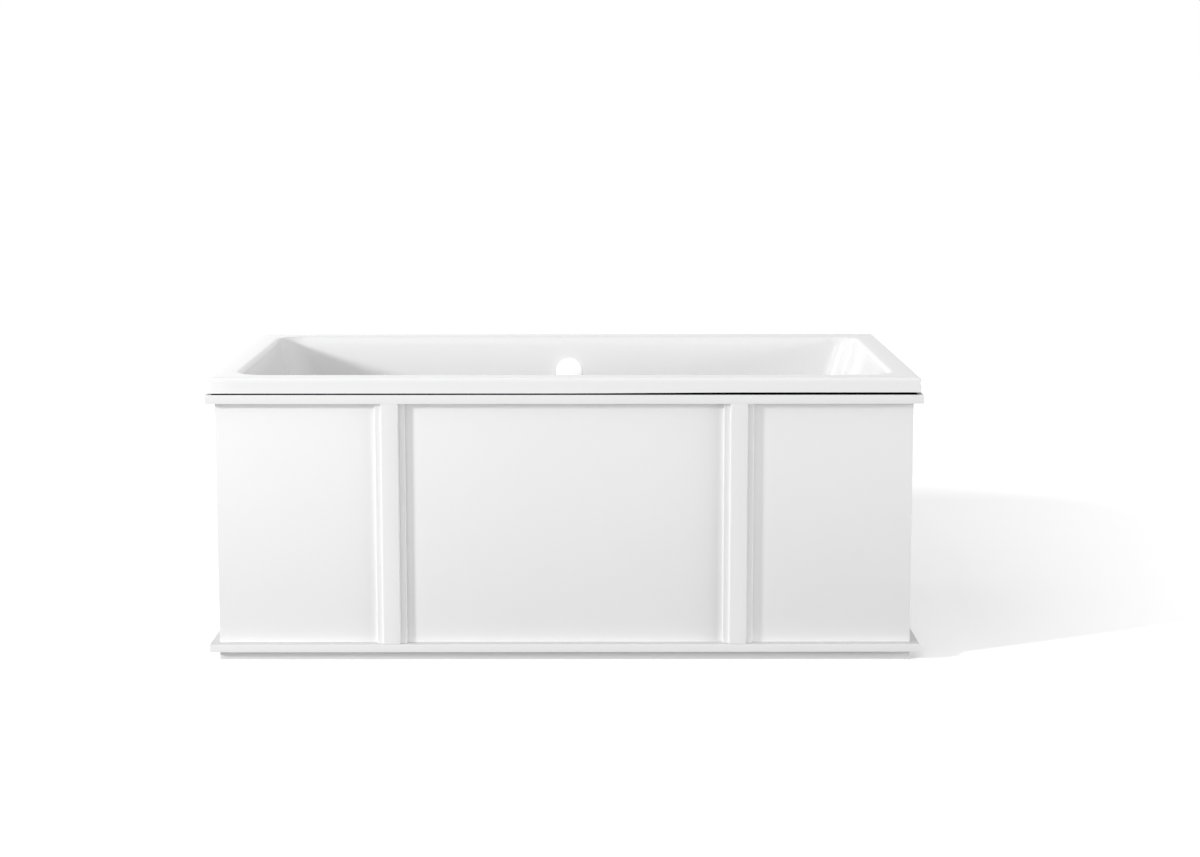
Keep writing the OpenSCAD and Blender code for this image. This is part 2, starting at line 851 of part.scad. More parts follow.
module drain_flange() {
    color(chrome)
    translate([waste_x, drain_y, 0]) {
        difference() {
            translate([0, 0, z_flange])
                cylinder(r = drain_flange_r, h = drain_flange_t);
            translate([0, 0, z_seat])
                cylinder(r = plug_r + recess_gap, h = seat_d + cut);
            translate([0, 0, z_flange - cut])
                cylinder(r = sleeve_r - sleeve_wall, h = drain_flange_t + cut);
        }
        translate([0, 0, z_floor - sleeve_l])
            tube(sleeve_r, sleeve_r - sleeve_wall, sleeve_l + flange_gasket_t);
        // Spider at the sleeve's lower end, which guides the plug's stem
        difference() {
            translate([0, 0, z_floor - sleeve_l]) {
                cylinder(r = hub_r, h = spider_t);
                for (a = [30, 150, 270])
                    rotate([0, 0, a])
                        translate([0, -spider_arm_w / 2, 0])
                            cube([sleeve_r - sleeve_wall / 2, spider_arm_w, spider_t]);
            }
            translate([0, 0, z_floor - sleeve_l - cut])
                cylinder(r = stem_r + fit, h = spider_t + 2 * cut);
        }
    }
}

module flange_gasket() {
    color(black_rubber)
    translate([waste_x, drain_y, z_floor])
        tube(drain_flange_r - gasket_inset, drain_hole_r, flange_gasket_t);
}

module drain_washer() {
    color(black_rubber)
    translate([waste_x, drain_y, z_body_top])
        tube(body_flange_r - gasket_inset, drain_hole_r, washer_t);
}

module drain_body() {
    color(grey_plastic)
    translate([waste_x, 0, 0])
        difference() {
            union() {
                translate([0, drain_y, z_body])
                    cylinder(r = body_r, h = body_h);
                translate([0, drain_y, z_body_top - body_flange_t])
                    cylinder(r = body_flange_r, h = body_flange_t);
                translate([0, drain_y, outlet_clear])
                    cylinder(r = outlet_r, h = z_body - outlet_clear + cut);
                translate([0, 0, z_port])
                    along_y(socket_r, drain_y + body_r / 2, port_end);
                // Arm that holds the cable's end
                translate([sleeve_r - bracket_root, bracket_y, z_wire - bracket_half])
                    cube([cable_x + bracket_half - sleeve_r + bracket_root, bracket_t, 2 * bracket_half]);
                // Gland round the lever's shaft
                translate([0, shaft_y, z_shaft])
                    along_x(shaft_r + gland_wall, sleeve_r - gland_root, body_r + gland_out);
            }
            translate([0, drain_y, z_body + chamber_floor_t])
                cylinder(r = chamber_r, h = body_h);
            translate([0, drain_y, outlet_clear - cut])
                cylinder(r = outlet_r - outlet_wall, h = z_body - outlet_clear + 2 * chamber_floor_t);
            translate([0, 0, z_port])
                along_y(pipe_r - pipe_wall, drain_y, port_end);
            translate([0, 0, z_port])
                along_y(pipe_r + fit, port_stop, port_end + cut);
            translate([0, shaft_y, z_shaft])
                along_x(shaft_r + fit, -shaft_end, crank_x);
            translate([cable_x, 0, z_wire])
                along_y(cable_r + fit, bracket_y - cut, bracket_y + bracket_t + cut);
        }
}

// The plug: a low dome on its rubber seal
module drain_plug() {
    color(chrome)
    translate([waste_x, drain_y, z_plug])
        difference() {
            union() {
                cylinder(r = plug_r, h = plug_t / 2);
                translate([0, 0, plug_t / 2])
                    cylinder(r1 = plug_r, r2 = plug_r - plug_slope, h = plug_t / 2);
            }
            translate([0, 0, -cut])
                cylinder(r = stem_r + fit, h = plug_t / 2 + cut);
        }
}

module plug_seal() {
    color(black_rubber)
    translate([waste_x, drain_y, z_plug - seal_t])
        tube(plug_r - seal_inset, sleeve_r - sleeve_wall - seal_lap, seal_t);
}

module plug_stem() {
    color(chrome)
    translate([waste_x, drain_y, z_stem]) {
        cylinder(r = stem_r, h = z_plug + plug_t / 2 - z_stem);
        // Collar that carries the plug
        translate([0, 0, z_plug - z_stem - seal_t])
            cylinder(r = hub_r, h = seal_t);
    }
}

// Lever in the drain body, tilted down while the plug is closed
module lift_lever() {
    color(zinc)
    translate([waste_x, shaft_y, z_shaft])
        rotate([-lever_angle, 0, 0])
            difference() {
                union() {
                    along_x(lever_hub_r, -lever_w / 2, lever_w / 2);
                    translate([-lever_w / 2, 0, -lever_t / 2])
                        cube([lever_w, lever_arm, lever_t]);
                    translate([0, lever_arm, 0])
                        along_x(nose_r, -lever_w / 2, lever_w / 2);
                }
                along_x(shaft_r + fit, -lever_w, lever_w);
            }
}

module lift_shaft() {
    color(zinc)
    translate([waste_x, shaft_y, z_shaft])
        along_x(shaft_r, end_play - shaft_end, crank_x + crank_t);
}

// Crank on the shaft's outer end, with an open slot for the wire's nipple
module crank_arm() {
    slot = nipple_r + slot_clear;
    color(zinc)
    translate([waste_x, shaft_y, z_shaft])
        rotate([-lever_angle, 0, 0])
            difference() {
                union() {
                    along_x(crank_hub_r, crank_x, crank_x + crank_t);
                    translate([crank_x, -crank_r, -crank_arm_l - slot])
                        cube([crank_t, 2 * crank_r, crank_arm_l + slot]);
                }
                along_x(shaft_r + fit, crank_x - cut, crank_x + crank_t + cut);
                translate([crank_x - cut, -slot, -crank_arm_l - slot - cut])
                    cube([crank_t + 2 * cut, 2 * slot, 2 * slot + cut + slot_extra]);
            }
}

module pull_wire() {
    color(zinc)
    translate([waste_x, 0, z_wire]) {
        translate([0, shaft_y - nipple_shift, 0])
            along_x(nipple_r, crank_x - nipple_out, cable_x + wire_r + nipple_cap);
        translate([cable_x, 0, 0])
            along_y(wire_r, shaft_y - nipple_shift, bracket_y + wire_end_l);
    }
}

// Sheath of the lifting cable: down behind the bath, one bend, along to the drain body
module lift_cable() {
    color("black")
    translate([waste_x + cable_x, 0, 0])
        difference() {
            union() {
                translate([0, pipe_y, z_wire + bend_r])
                    cylinder(r = cable_r, h = cable_top - z_wire - bend_r);
                translate([0, pipe_bend_y, z_wire + bend_r])
                    rotate([0, 90, 0])
                        rotate_extrude(angle = 90)
                            translate([bend_r, 0])
                                circle(r = cable_r);
                translate([0, 0, z_wire])
                    along_y(cable_r, bracket_y, pipe_bend_y);
            }
            translate([0, 0, z_wire])
                along_y(wire_r + fit, bracket_y - cut, bracket_y + wire_bore_l);
        }
}

// Places its children on the overflow's axis: Z points into the basin, square to the wall
module at_overflow(w) {
    translate([waste_x, overflow_y, z_overflow])
        rotate([90 - side_slope, 0, 0])
            translate([0, 0, w])
                children();
}

module overflow_body() {
    color(grey_plastic)
    difference() {
        union() {
            at_overflow(cup_back)
                cylinder(r = cup_r, h = gasket_w0 - cup_back);
            at_overflow(gasket_w0 - cup_flange_t)
                cylinder(r = cup_flange_r, h = cup_flange_t);
            translate([waste_x, pipe_y, socket_bottom])
                cylinder(r = socket_r, h = socket_l);
            // Gland that holds the cable's upper end
            translate([waste_x + cable_x, pipe_y, cable_boss_bottom])
                cylinder(r = cable_boss_r, h = cable_boss_top - cable_boss_bottom);
            translate([waste_x + cup_r - web_root, pipe_y - web_t / 2, cable_boss_top - web_h])
                cube([cable_x - cup_r + web_root, web_t, web_h]);
        }
        difference() {
            at_overflow(cup_floor)
                cylinder(r = cup_r - cup_wall, h = gasket_w0 - cup_back);
            // Bearing of the spindle and posts for the faceplate's screws
            at_overflow(cup_back)
                cylinder(r = spindle_r + bearing_wall, h = cup_wall + bearing_l);
            for (s = sides)
                at_overflow(cup_back)
                    translate([s * plate_screw_x, 0, 0])
                        cylinder(r = plate_screw_r + post_wall, h = gasket_w0 - cup_back);
        }
        at_overflow(cup_floor)
            cylinder(r = spindle_r + fit, h = bearing_l + cut);
        for (s = sides)
            at_overflow(cup_floor)
                translate([s * plate_screw_x, 0, 0])
                    cylinder(r = plate_screw_r + fit, h = gasket_w0 - cup_back);
        // Everything ends at the gasket's back face
        at_overflow(gasket_w0)
            cylinder(r = cup_flange_r + socket_r, h = washer_t);
        translate([waste_x, pipe_y, socket_bottom - cut])
            cylinder(r = pipe_r + fit, h = pipe_top - socket_bottom + cut);
        translate([waste_x, pipe_y, socket_bottom])
            cylinder(r = pipe_r - pipe_wall - bore_step, h = socket_l + way_through);
        translate([waste_x + cable_x, pipe_y, cable_boss_bottom - cut])
            cylinder(r = cable_r + fit, h = cable_top - cable_boss_bottom + cut);
    }
}

module overflow_gasket() {
    color(black_rubber)
    at_overflow(gasket_w0)
        tube(cup_flange_r - gasket_inset, overflow_hole_r, washer_t);
}

// Faceplate in the basin: an open ring with a bearing for the spindle
module overflow_plate() {
    color(chrome)
    difference() {
        at_overflow(0) {
            tube(plate_r, plate_screw_x - plate_screw_r - plate_ring, plate_t);
            cylinder(r = spindle_r + bearing_wall, h = plate_t);
            for (a = [0, 90, 180, 270])
                rotate([0, 0, a])
                    translate([0, -plate_arm_w / 2, 0])
                        cube([plate_screw_x, plate_arm_w, plate_t]);
        }
        at_overflow(-cut)
            cylinder(r = spindle_r + fit, h = plate_t + 2 * cut);
        for (s = sides)
            at_overflow(-cut)
                translate([s * plate_screw_x, 0, 0])
                    cylinder(r = plate_screw_r + fit, h = plate_t + 2 * cut);
    }
}

module plate_screws() {
    color(zinc)
    for (s = sides)
        at_overflow(0)
            translate([s * plate_screw_x, 0, 0]) {
                translate([0, 0, cup_floor + plate_screw_end])
                    cylinder(r = plate_screw_r, h = plate_t - cup_floor - plate_screw_end);
                translate([0, 0, plate_t])
                    cylinder(r = plate_screw_r + plate_head_grow, h = plate_head_h);
            }
}

// Turning cap: plain round disc, open towards the wall below the disc's edge
module overflow_cap() {
    color("white")
    difference() {
        union() {
            at_overflow(cap_gap)
                cylinder(r = cap_r, h = cap_t - cap_bevel);
            at_overflow(cap_gap + cap_t - cap_bevel)
                cylinder(r1 = cap_r, r2 = cap_r - cap_bevel, h = cap_bevel);
            at_overflow(plate_t + rest_gap)
                cylinder(r = spindle_r + cap_hub_wall, h = cap_gap - plate_t);
        }
        at_overflow(-cut)
            cylinder(r = spindle_r + fit, h = cap_gap + cap_t / 2 + cut);
    }
}

module cap_spindle() {
    color(zinc)
    at_overflow(cup_floor + end_play)
        cylinder(r = spindle_r, h = cap_gap + cap_t / 2 - cup_floor - end_play);
}

// Cam on the spindle, with the pin that the wire's upper end hooks over
module spindle_cam() {
    color(zinc)
    at_overflow(cup_floor + bearing_l + end_play) {
        tube(spindle_r + cam_flange, spindle_r + fit, cam_t);
        translate([-cam_pin_x, 0, cam_t])
            cylinder(r = cam_pin_r, h = cam_pin_l);
    }
}

// Overflow pipe: down behind the bath, one bend, along to the drain body
module overflow_pipe() {
    z_bend = z_port + bend_r;
    color(grey_plastic)
    translate([waste_x, 0, 0]) {
        translate([0, pipe_y, z_bend])
            tube(pipe_r, pipe_r - pipe_wall, pipe_top - z_bend);
        translate([0, pipe_bend_y, z_bend])
            rotate([0, 90, 0])
                rotate_extrude(angle = 90)
                    translate([bend_r, 0])
                        difference() {
                            circle(r = pipe_r);
                            circle(r = pipe_r - pipe_wall);
                        }
        translate([0, pipe_bend_y, z_port])
            rotate([90, 0, 0])
                tube(pipe_r, pipe_r - pipe_wall, pipe_bend_y - port_stop);
    }
}

module slip_nut() {
    difference() {
        cylinder(r = slip_nut_r, h = nut_len, $fn = 8);
        translate([0, 0, -cut])
            cylinder(r = pipe_r + fit, h = nut_len + 2 * cut);
    }
}

module slip_nuts() {
    color(grey_plastic)
    translate([waste_x, 0, 0]) {
        translate([0, pipe_y, socket_bottom - slip_washer_t - nut_len])
            slip_nut();
        translate([0, port_end + slip_washer_t, z_port])
            rotate([-90, 0, 0])
                slip_nut();
    }
}

module slip_washers() {
    color(black_rubber)
    translate([waste_x, 0, 0]) {
        translate([0, pipe_y, socket_bottom - slip_washer_t])
            tube(socket_r - slip_washer_inset, pipe_r + fit, slip_washer_t);
        translate([0, port_end, z_port])
            rotate([-90, 0, 0])
                tube(socket_r - slip_washer_inset, pipe_r + fit, slip_washer_t);
    }
}

bath_shell();
bath_feet();
foot_studs();
levelling_screws();
lock_nuts();
floor_pads();
rim_gasket();
cap_rail_front();
cap_rail_back();
cap_rail_left();
cap_rail_right();
ledge_front();
ledge_back();
ledge_left();
ledge_right();
plinth_front();
plinth_back();
plinth_left();
plinth_right();
front_panel();
back_panel();
left_panel();
right_panel();
pilaster_front_left();
pilaster_front_right();
pilaster_back_left();
pilaster_back_right();
corner_posts();
side_posts();
end_posts();
cap_rail_screws();
ledge_screws();
plinth_screws();
panel_screws();
drain_flange();
flange_gasket();
drain_washer();
drain_body();
drain_plug();
plug_seal();
plug_stem();
lift_lever();
lift_shaft();
crank_arm();
pull_wire();
lift_cable();
overflow_body();
overflow_gasket();
overflow_plate();
plate_screws();
overflow_cap();
cap_spindle();
spindle_cam();
overflow_pipe();
slip_nuts();
slip_washers();
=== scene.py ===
"""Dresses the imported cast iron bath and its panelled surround, and sets them on a white studio floor."""

import json
import math

import bpy
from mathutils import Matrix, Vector


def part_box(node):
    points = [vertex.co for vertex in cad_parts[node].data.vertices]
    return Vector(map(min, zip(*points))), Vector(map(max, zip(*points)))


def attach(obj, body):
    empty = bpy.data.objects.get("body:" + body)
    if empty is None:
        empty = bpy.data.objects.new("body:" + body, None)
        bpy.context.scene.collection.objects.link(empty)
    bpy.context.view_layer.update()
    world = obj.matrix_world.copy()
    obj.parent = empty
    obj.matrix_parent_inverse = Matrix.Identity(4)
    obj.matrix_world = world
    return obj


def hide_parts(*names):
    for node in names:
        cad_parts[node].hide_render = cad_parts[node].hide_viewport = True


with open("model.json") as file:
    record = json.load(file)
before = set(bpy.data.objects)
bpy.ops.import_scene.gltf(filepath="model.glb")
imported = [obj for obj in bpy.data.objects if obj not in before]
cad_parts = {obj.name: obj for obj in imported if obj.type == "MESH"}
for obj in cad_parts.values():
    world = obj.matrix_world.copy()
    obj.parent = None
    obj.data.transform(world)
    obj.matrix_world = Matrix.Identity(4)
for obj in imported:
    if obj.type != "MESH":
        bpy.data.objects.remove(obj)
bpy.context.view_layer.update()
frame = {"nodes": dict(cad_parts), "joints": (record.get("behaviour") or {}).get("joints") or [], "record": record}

bl_info = {
    "name": "Panelled Cast Iron Bath",
    "version": (1, 0, 0),
    "blender": (4, 5, 0),
    "location": "3D View > Sidebar > Bath",
    "description": "Models the enamelled bath, its painted surround and its waste, and lights them",
    "category": "Object",
}

MM = 0.001
PHOTO_SIZE = (1200, 857)
TAU = 2 * math.pi
# Radius of a turned piece where its outline meets the axis, small enough to close
TIP = 0.001 * MM
# How near two heights or places have to be to count as the same
NEAR = 0.01 * MM
# Painted shade on the ledge's top, a grey band: where it begins, how fast it fades in and how high it reaches
PAINTED_SHADE_LOW, PAINTED_SHADE_FADE, PAINTED_SHADE_HIGH = 36.9 * MM, 0.4 * MM, 38.5 * MM

# Places read from the frame
SHELL_LOW, SHELL_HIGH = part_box("bath_shell")
RAIL_LOW, RAIL_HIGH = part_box("cap_rail_front")
FLANGE_LOW, FLANGE_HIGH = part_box("drain_flange")
PLUG_LOW, PLUG_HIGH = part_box("drain_plug")
JOINTS = {joint["name"]: joint for joint in frame["joints"]}
OVERFLOW_CENTRE = Vector(JOINTS["cap_turn"]["pos_m"])
OVERFLOW_AXIS = Vector(JOINTS["cap_turn"]["axis"]).normalized()
DRAIN_CENTRE = (FLANGE_LOW + FLANGE_HIGH) / 2


def linear(code):
    """Linear colour with alpha of an sRGB hex code such as F3F3F3."""
    parts = [int(code[i:i + 2], 16) / 255 for i in (0, 2, 4)]
    return [c / 12.92 if c <= 0.04045 else ((c + 0.055) / 1.055) ** 2.4 for c in parts] + [1.0]


class BathSizes(bpy.types.PropertyGroup):
    """Sizes of the bath's castings and boards that only the looks need."""

    deck_side: bpy.props.FloatProperty(
        name="Deck at the sides", description="Flat rim at front and back",
        default=52 * MM, unit="LENGTH")
    deck_end: bpy.props.FloatProperty(
        name="Deck at the ends", description="Flat rim at the two ends",
        default=48 * MM, unit="LENGTH")
    rim_height: bpy.props.FloatProperty(
        name="Rim height", description="Height of the rim's edge",
        default=33 * MM, unit="LENGTH")
    rim_flare: bpy.props.FloatProperty(
        name="Rim flare", description="How far the rim's edge flares out towards its lower edge",
        default=2 * MM, unit="LENGTH")
    rim_round: bpy.props.FloatProperty(
        name="Rounding width", description="Width of the rounding along the rim's top edge",
        default=5.5 * MM, unit="LENGTH")
    rim_round_height: bpy.props.FloatProperty(
        name="Rounding height", description="Height of the rounding along the rim's top edge",
        default=11 * MM, unit="LENGTH")
    rim_corner: bpy.props.FloatProperty(
        name="Rim corner", description="Corner radius of the rim, seen from above",
        default=6 * MM, unit="LENGTH")
    roll: bpy.props.FloatProperty(
        name="Roll", description="Radius of the roll from the deck into the basin, at front and back",
        default=22 * MM, unit="LENGTH")
    roll_end: bpy.props.FloatProperty(
        name="Roll at the ends", description="Radius of the tighter roll at the two ends",
        default=12 * MM, unit="LENGTH")
    opening_corner: bpy.props.FloatProperty(
        name="Opening corner", description="Corner radius of the opening on the deck",
        default=75 * MM, unit="LENGTH")
    foot: bpy.props.FloatProperty(
        name="Foot", description="Radius between the basin's walls and its floor",
        default=75 * MM, unit="LENGTH")
    basin_depth: bpy.props.FloatProperty(
        name="Basin depth", description="From the rim's top to the basin's floor",
        default=498 * MM, unit="LENGTH")
    end_slope: bpy.props.FloatProperty(
        name="End slope", description="Slope of the end walls from the upright",
        default=math.radians(16), subtype="ANGLE")
    side_slope: bpy.props.FloatProperty(
        name="Side slope", description="Slope of the side walls from the upright",
        default=math.radians(5), subtype="ANGLE")
    iron: bpy.props.FloatProperty(
        name="Iron", description="Thickness of the cast iron with its enamel",
        default=6 * MM, unit="LENGTH")
    lip_rise: bpy.props.FloatProperty(
        name="Lip rise", description="How much higher the rim's lower edge is at the right",
        default=2 * MM, unit="LENGTH")
    board_edge: bpy.props.FloatProperty(
        name="Board edge", description="Rounding of the painted boards' edges",
        default=0.6 * MM, unit="LENGTH")
    pilaster_edge: bpy.props.FloatProperty(
        name="Pilaster edge", description="Rounding of the pilasters' long edges",
        default=1.6 * MM, unit="LENGTH")
    pilaster_face: bpy.props.FloatProperty(
        name="Pilaster face", description="Width of a pilaster's raised face",
        default=36.5 * MM, unit="LENGTH")
    pilaster_step: bpy.props.FloatProperty(
        name="Pilaster step", description="How far a pilaster's steps stand out from the panel",
        default=9.5 * MM, unit="LENGTH")


class BathColours(bpy.types.PropertyGroup):
    """Colours of the bath's finishes."""

    enamel: bpy.props.FloatVectorProperty(
        name="Enamel", description="Vitreous enamel on the iron",
        default=linear("F1F1F1")[:3], size=3, subtype="COLOR")
    paint: bpy.props.FloatVectorProperty(
        name="Paint", description="Satin paint on the boards",
        default=linear("F3F3F3")[:3], size=3, subtype="COLOR")
    cap: bpy.props.FloatVectorProperty(
        name="Cap", description="Powder coat on the overflow cap",
        default=linear("FEFEFE")[:3], size=3, subtype="COLOR")
    foam: bpy.props.FloatVectorProperty(
        name="Foam", description="Foam strip under the rim",
        default=linear("050505")[:3], size=3, subtype="COLOR")


class BathStudio(bpy.types.PropertyGroup):
    """Strengths of the studio's lights."""

    sky_left: bpy.props.FloatProperty(
        name="Sky at the left", description="Strength of the soft light from the left", default=0.68)
    sky_up: bpy.props.FloatProperty(
        name="Sky overhead", description="Strength of the soft light from above", default=0.72)
    sky_gloss: bpy.props.FloatProperty(
        name="Sky in gloss", description="Strength of the white studio in reflections", default=0.9)
    key: bpy.props.FloatProperty(
        name="Key", description="Power of the round lamp at the left, in watts", default=271.0)
    floor_key: bpy.props.FloatProperty(
        name="Floor key", description="Power of the key lamp's twin that lights the floor only, in watts",
        default=440.0)
    front: bpy.props.FloatProperty(
        name="Front", description="Power of the wide softbox in front, in watts", default=21.0)
    front_left: bpy.props.FloatProperty(
        name="Front left", description="Power of the softbox in front at the left, in watts", default=63.0)
    right: bpy.props.FloatProperty(
        name="Right", description="Power of the softbox at the right, in watts", default=176.0)
    floor: bpy.props.FloatVectorProperty(
        name="Floor", description="Colour of the studio floor",
        default=linear("828282")[:3], size=3, subtype="COLOR")


def sizes():
    return bpy.context.scene.bath_sizes


def colours():
    return bpy.context.scene.bath_colours


# Modelling helpers


def begin(name):
    """Names the primitive just added and opens it in edit mode, with nothing selected."""
    piece = bpy.context.active_object
    piece.name = name
    piece.data.name = name
    bpy.ops.object.transform_apply(location=True, rotation=True, scale=True)
    bpy.ops.object.mode_set(mode="EDIT")
    bpy.ops.mesh.select_all(action="DESELECT")
    return piece


def add_cube(name, low, high):
    """A cube primitive that fills a box, open in edit mode."""
    low, high = Vector(low), Vector(high)
    bpy.ops.object.select_all(action="DESELECT")
    bpy.ops.mesh.primitive_cube_add(size=1, location=(low + high) / 2, scale=high - low)
    return begin(name)


def pick(piece, kind, test):
    """Selects the vertices, edges or faces of a piece in edit mode that pass a test, and nothing else."""
    bpy.ops.object.mode_set(mode="OBJECT")
    mesh = piece.data
    for group in (mesh.vertices, mesh.edges, mesh.polygons):
        group.foreach_set("select", [False] * len(group))
    found = [item for item in getattr(mesh, kind) if test(item)]
    for item in found:
        item.select = True
    if kind != "vertices":
        for item in found:
            for index in item.vertices:
                mesh.vertices[index].select = True
    # Set before edit mode opens, or it would select the edges between picked vertices too
    bpy.context.tool_settings.mesh_select_mode = [kind == each for each in ("vertices", "edges", "polygons")]
    bpy.ops.object.mode_set(mode="EDIT")
    return len(found)


def ends_of(piece, edge):
    """The two end points of an edge."""
    return [piece.data.vertices[index].co for index in edge.vertices]


def runs_along(piece, edge, axis):
    """True for an edge that is parallel to an axis, 0 for X, 1 for Y and 2 for Z."""
    a, b = ends_of(piece, edge)
    step = (b - a).normalized()
    return abs(step[axis]) > 0.999


def lies_at(piece, edge, height):
    """True for an edge whose two ends lie at a height."""
    return all(abs(point.z - height) < NEAR for point in ends_of(piece, edge))


def length_of(piece, edge):
    """The length of an edge."""
    a, b = ends_of(piece, edge)
    return (b - a).length


def apply_modifier(piece, kind, **settings):
    """Adds a modifier, gives it its settings and applies it."""
    bpy.ops.object.mode_set(mode="OBJECT")
    bpy.context.view_layer.objects.active = piece
    modifier = piece.modifiers.new(kind.title(), kind)
    for name, value in settings.items():
        setattr(modifier, name, value)
    bpy.ops.object.modifier_apply(modifier=modifier.name)


def soften(piece, width, segments, angle):
    """Rounds the edges of a turned piece that are sharper than an angle in degrees."""
    apply_modifier(piece, "BEVEL", width=width, segments=segments, limit_method="ANGLE",
                   angle_limit=math.radians(angle))


def settle(piece, material, body, slot, *nodes, smooth=30.0):
    """Closes a piece: smooth shading, its material, the body it rides on and the nodes it stands for."""
    if bpy.context.mode != "OBJECT":
        bpy.ops.object.mode_set(mode="OBJECT")
    bpy.ops.object.select_all(action="DESELECT")
    piece.select_set(True)
    bpy.context.view_layer.objects.active = piece
    bpy.ops.object.transform_apply(location=True, rotation=True, scale=True)
    bpy.ops.object.shade_smooth_by_angle(angle=math.radians(smooth))
    piece.data.materials.clear()
    piece.data.materials.append(material)
    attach(piece, body)
    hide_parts(*nodes)
    return piece


def lathe(name, profile, steps=96):
    """Spins a closed profile of radius and height pairs round Z, and leaves the piece in edit mode."""
    mesh = bpy.data.meshes.new(name)
    count = len(profile)
    points = [(radius, 0, height) for radius, height in profile]
    mesh.from_pydata(points, [(i, (i + 1) % count) for i in range(count)], [])
    piece = bpy.data.objects.new(name, mesh)
    bpy.context.scene.collection.objects.link(piece)
    bpy.ops.object.select_all(action="DESELECT")
    piece.select_set(True)
    bpy.context.view_layer.objects.active = piece
    bpy.ops.object.mode_set(mode="EDIT")
    bpy.ops.mesh.select_all(action="SELECT")
    bpy.ops.mesh.spin(steps=steps, angle=TAU, center=(0, 0, 0), axis=(0, 0, 1))
    bpy.ops.mesh.select_all(action="SELECT")
    bpy.ops.mesh.remove_doubles(threshold=NEAR)
    bpy.ops.mesh.normals_make_consistent(inside=False)
    return piece


# Materials


def node(tree, kind, inputs=None, **settings):
    """Adds a node with its settings. An input that is another node's socket is linked, and any other is set."""
    made = tree.nodes.new(kind)
    for name, value in settings.items():
        setattr(made, name, value)
    for name, value in (inputs or {}).items():
        if isinstance(value, bpy.types.NodeSocket):
            tree.links.new(value, made.inputs[name])
        else:
            made.inputs[name].default_value = value
    return made


def new_material(name):
    """An empty material with its output, its shader and the object's coordinates."""
    material = bpy.data.materials.new(name)
    material.use_nodes = True
    tree = material.node_tree
    tree.nodes.clear()
    output = node(tree, "ShaderNodeOutputMaterial")
    shader = node(tree, "ShaderNodeBsdfPrincipled")
    tree.links.new(shader.outputs["BSDF"], output.inputs["Surface"])
    place = node(tree, "ShaderNodeTexCoord").outputs["Object"]
    return material, tree, shader, place


def vitreous_enamel():
    """Glass enamel fired on cast iron: deep gloss over a slightly wavy casting, with fine orange peel."""
    material, tree, shader, place = new_material("vitreous_enamel")
    waves = node(tree, "ShaderNodeTexNoise", {"Vector": place, "Scale": 1 / (45 * MM), "Detail": 1.0})
    peel = node(tree, "ShaderNodeTexNoise", {"Vector": place, "Scale": 1 / (5 * MM), "Detail": 2.0})
    wavy = node(tree, "ShaderNodeBump", {"Height": waves.outputs["Fac"], "Strength": 0.5, "Distance": 0.06 * MM})
    fine = node(tree, "ShaderNodeBump", {
        "Height": peel.outputs["Fac"], "Strength": 0.3, "Distance": 0.008 * MM, "Normal": wavy.outputs["Normal"]})
    tint = node(tree, "ShaderNodeTexNoise", {"Vector": place, "Scale": 1 / (300 * MM), "Detail": 2.0})
    colour = node(tree, "ShaderNodeMix", {
        "Factor": tint.outputs["Fac"], "A": linear("EFEFEF"), "B": (*colours().enamel, 1)}, data_type="RGBA")
    gloss = node(tree, "ShaderNodeMapRange", {
        "Value": tint.outputs["Fac"], "To Min": 0.15, "To Max": 0.2})
    tree.links.new(colour.outputs["Result"], shader.inputs["Base Color"])
    tree.links.new(gloss.outputs["Result"], shader.inputs["Roughness"])
    tree.links.new(fine.outputs["Normal"], shader.inputs["Normal"])
    shader.inputs["IOR"].default_value = 1.52
    return material


def satin_paint():
    """Satin lacquer rolled on smooth board: soft sheen, a faint stipple, and a grey band of painted shade on the
    ledge's top.
    """
    material, tree, shader, place = new_material("satin_paint")
    stipple = node(tree, "ShaderNodeTexNoise", {"Vector": place, "Scale": 1 / (2.5 * MM), "Detail": 2.0})
    drift = node(tree, "ShaderNodeTexNoise", {"Vector": place, "Scale": 1 / (180 * MM), "Detail": 2.0})
    bump = node(tree, "ShaderNodeBump", {"Height": stipple.outputs["Fac"], "Strength": 0.3, "Distance": 0.03 * MM})
    colour = node(tree, "ShaderNodeMix", {
        "Factor": drift.outputs["Fac"], "A": linear("F1F1F1"), "B": (*colours().paint, 1)}, data_type="RGBA")
    # Painted shade: a grey band covers the ledge's top, at 37.5 mm, and just the foot of the panels on it
    height = node(tree, "ShaderNodeSeparateXYZ", {0: place}).outputs["Z"]
    above = node(tree, "ShaderNodeMapRange", {
        "Value": height, "From Min": PAINTED_SHADE_LOW, "From Max": PAINTED_SHADE_LOW + PAINTED_SHADE_FADE})
    below = node(tree, "ShaderNodeMapRange", {
        "Value": height, "From Min": PAINTED_SHADE_HIGH, "From Max": PAINTED_SHADE_HIGH - PAINTED_SHADE_FADE})
    painted_shade = node(tree, "ShaderNodeMath", {
        0: above.outputs["Result"], 1: below.outputs["Result"]}, operation="MULTIPLY")
    # Painted shade: the grey D2D2D2 stands in for the shade on the ledge's top
    colour = node(tree, "ShaderNodeMix", {
        "Factor": painted_shade.outputs[0], "A": colour.outputs["Result"], "B": linear("D2D2D2")}, data_type="RGBA")
    sheen = node(tree, "ShaderNodeMapRange", {
        "Value": drift.outputs["Fac"], "To Min": 0.5, "To Max": 0.6})
    tree.links.new(colour.outputs["Result"], shader.inputs["Base Color"])
    tree.links.new(sheen.outputs["Result"], shader.inputs["Roughness"])
    tree.links.new(bump.outputs["Normal"], shader.inputs["Normal"])
    shader.inputs["IOR"].default_value = 1.5
    return material


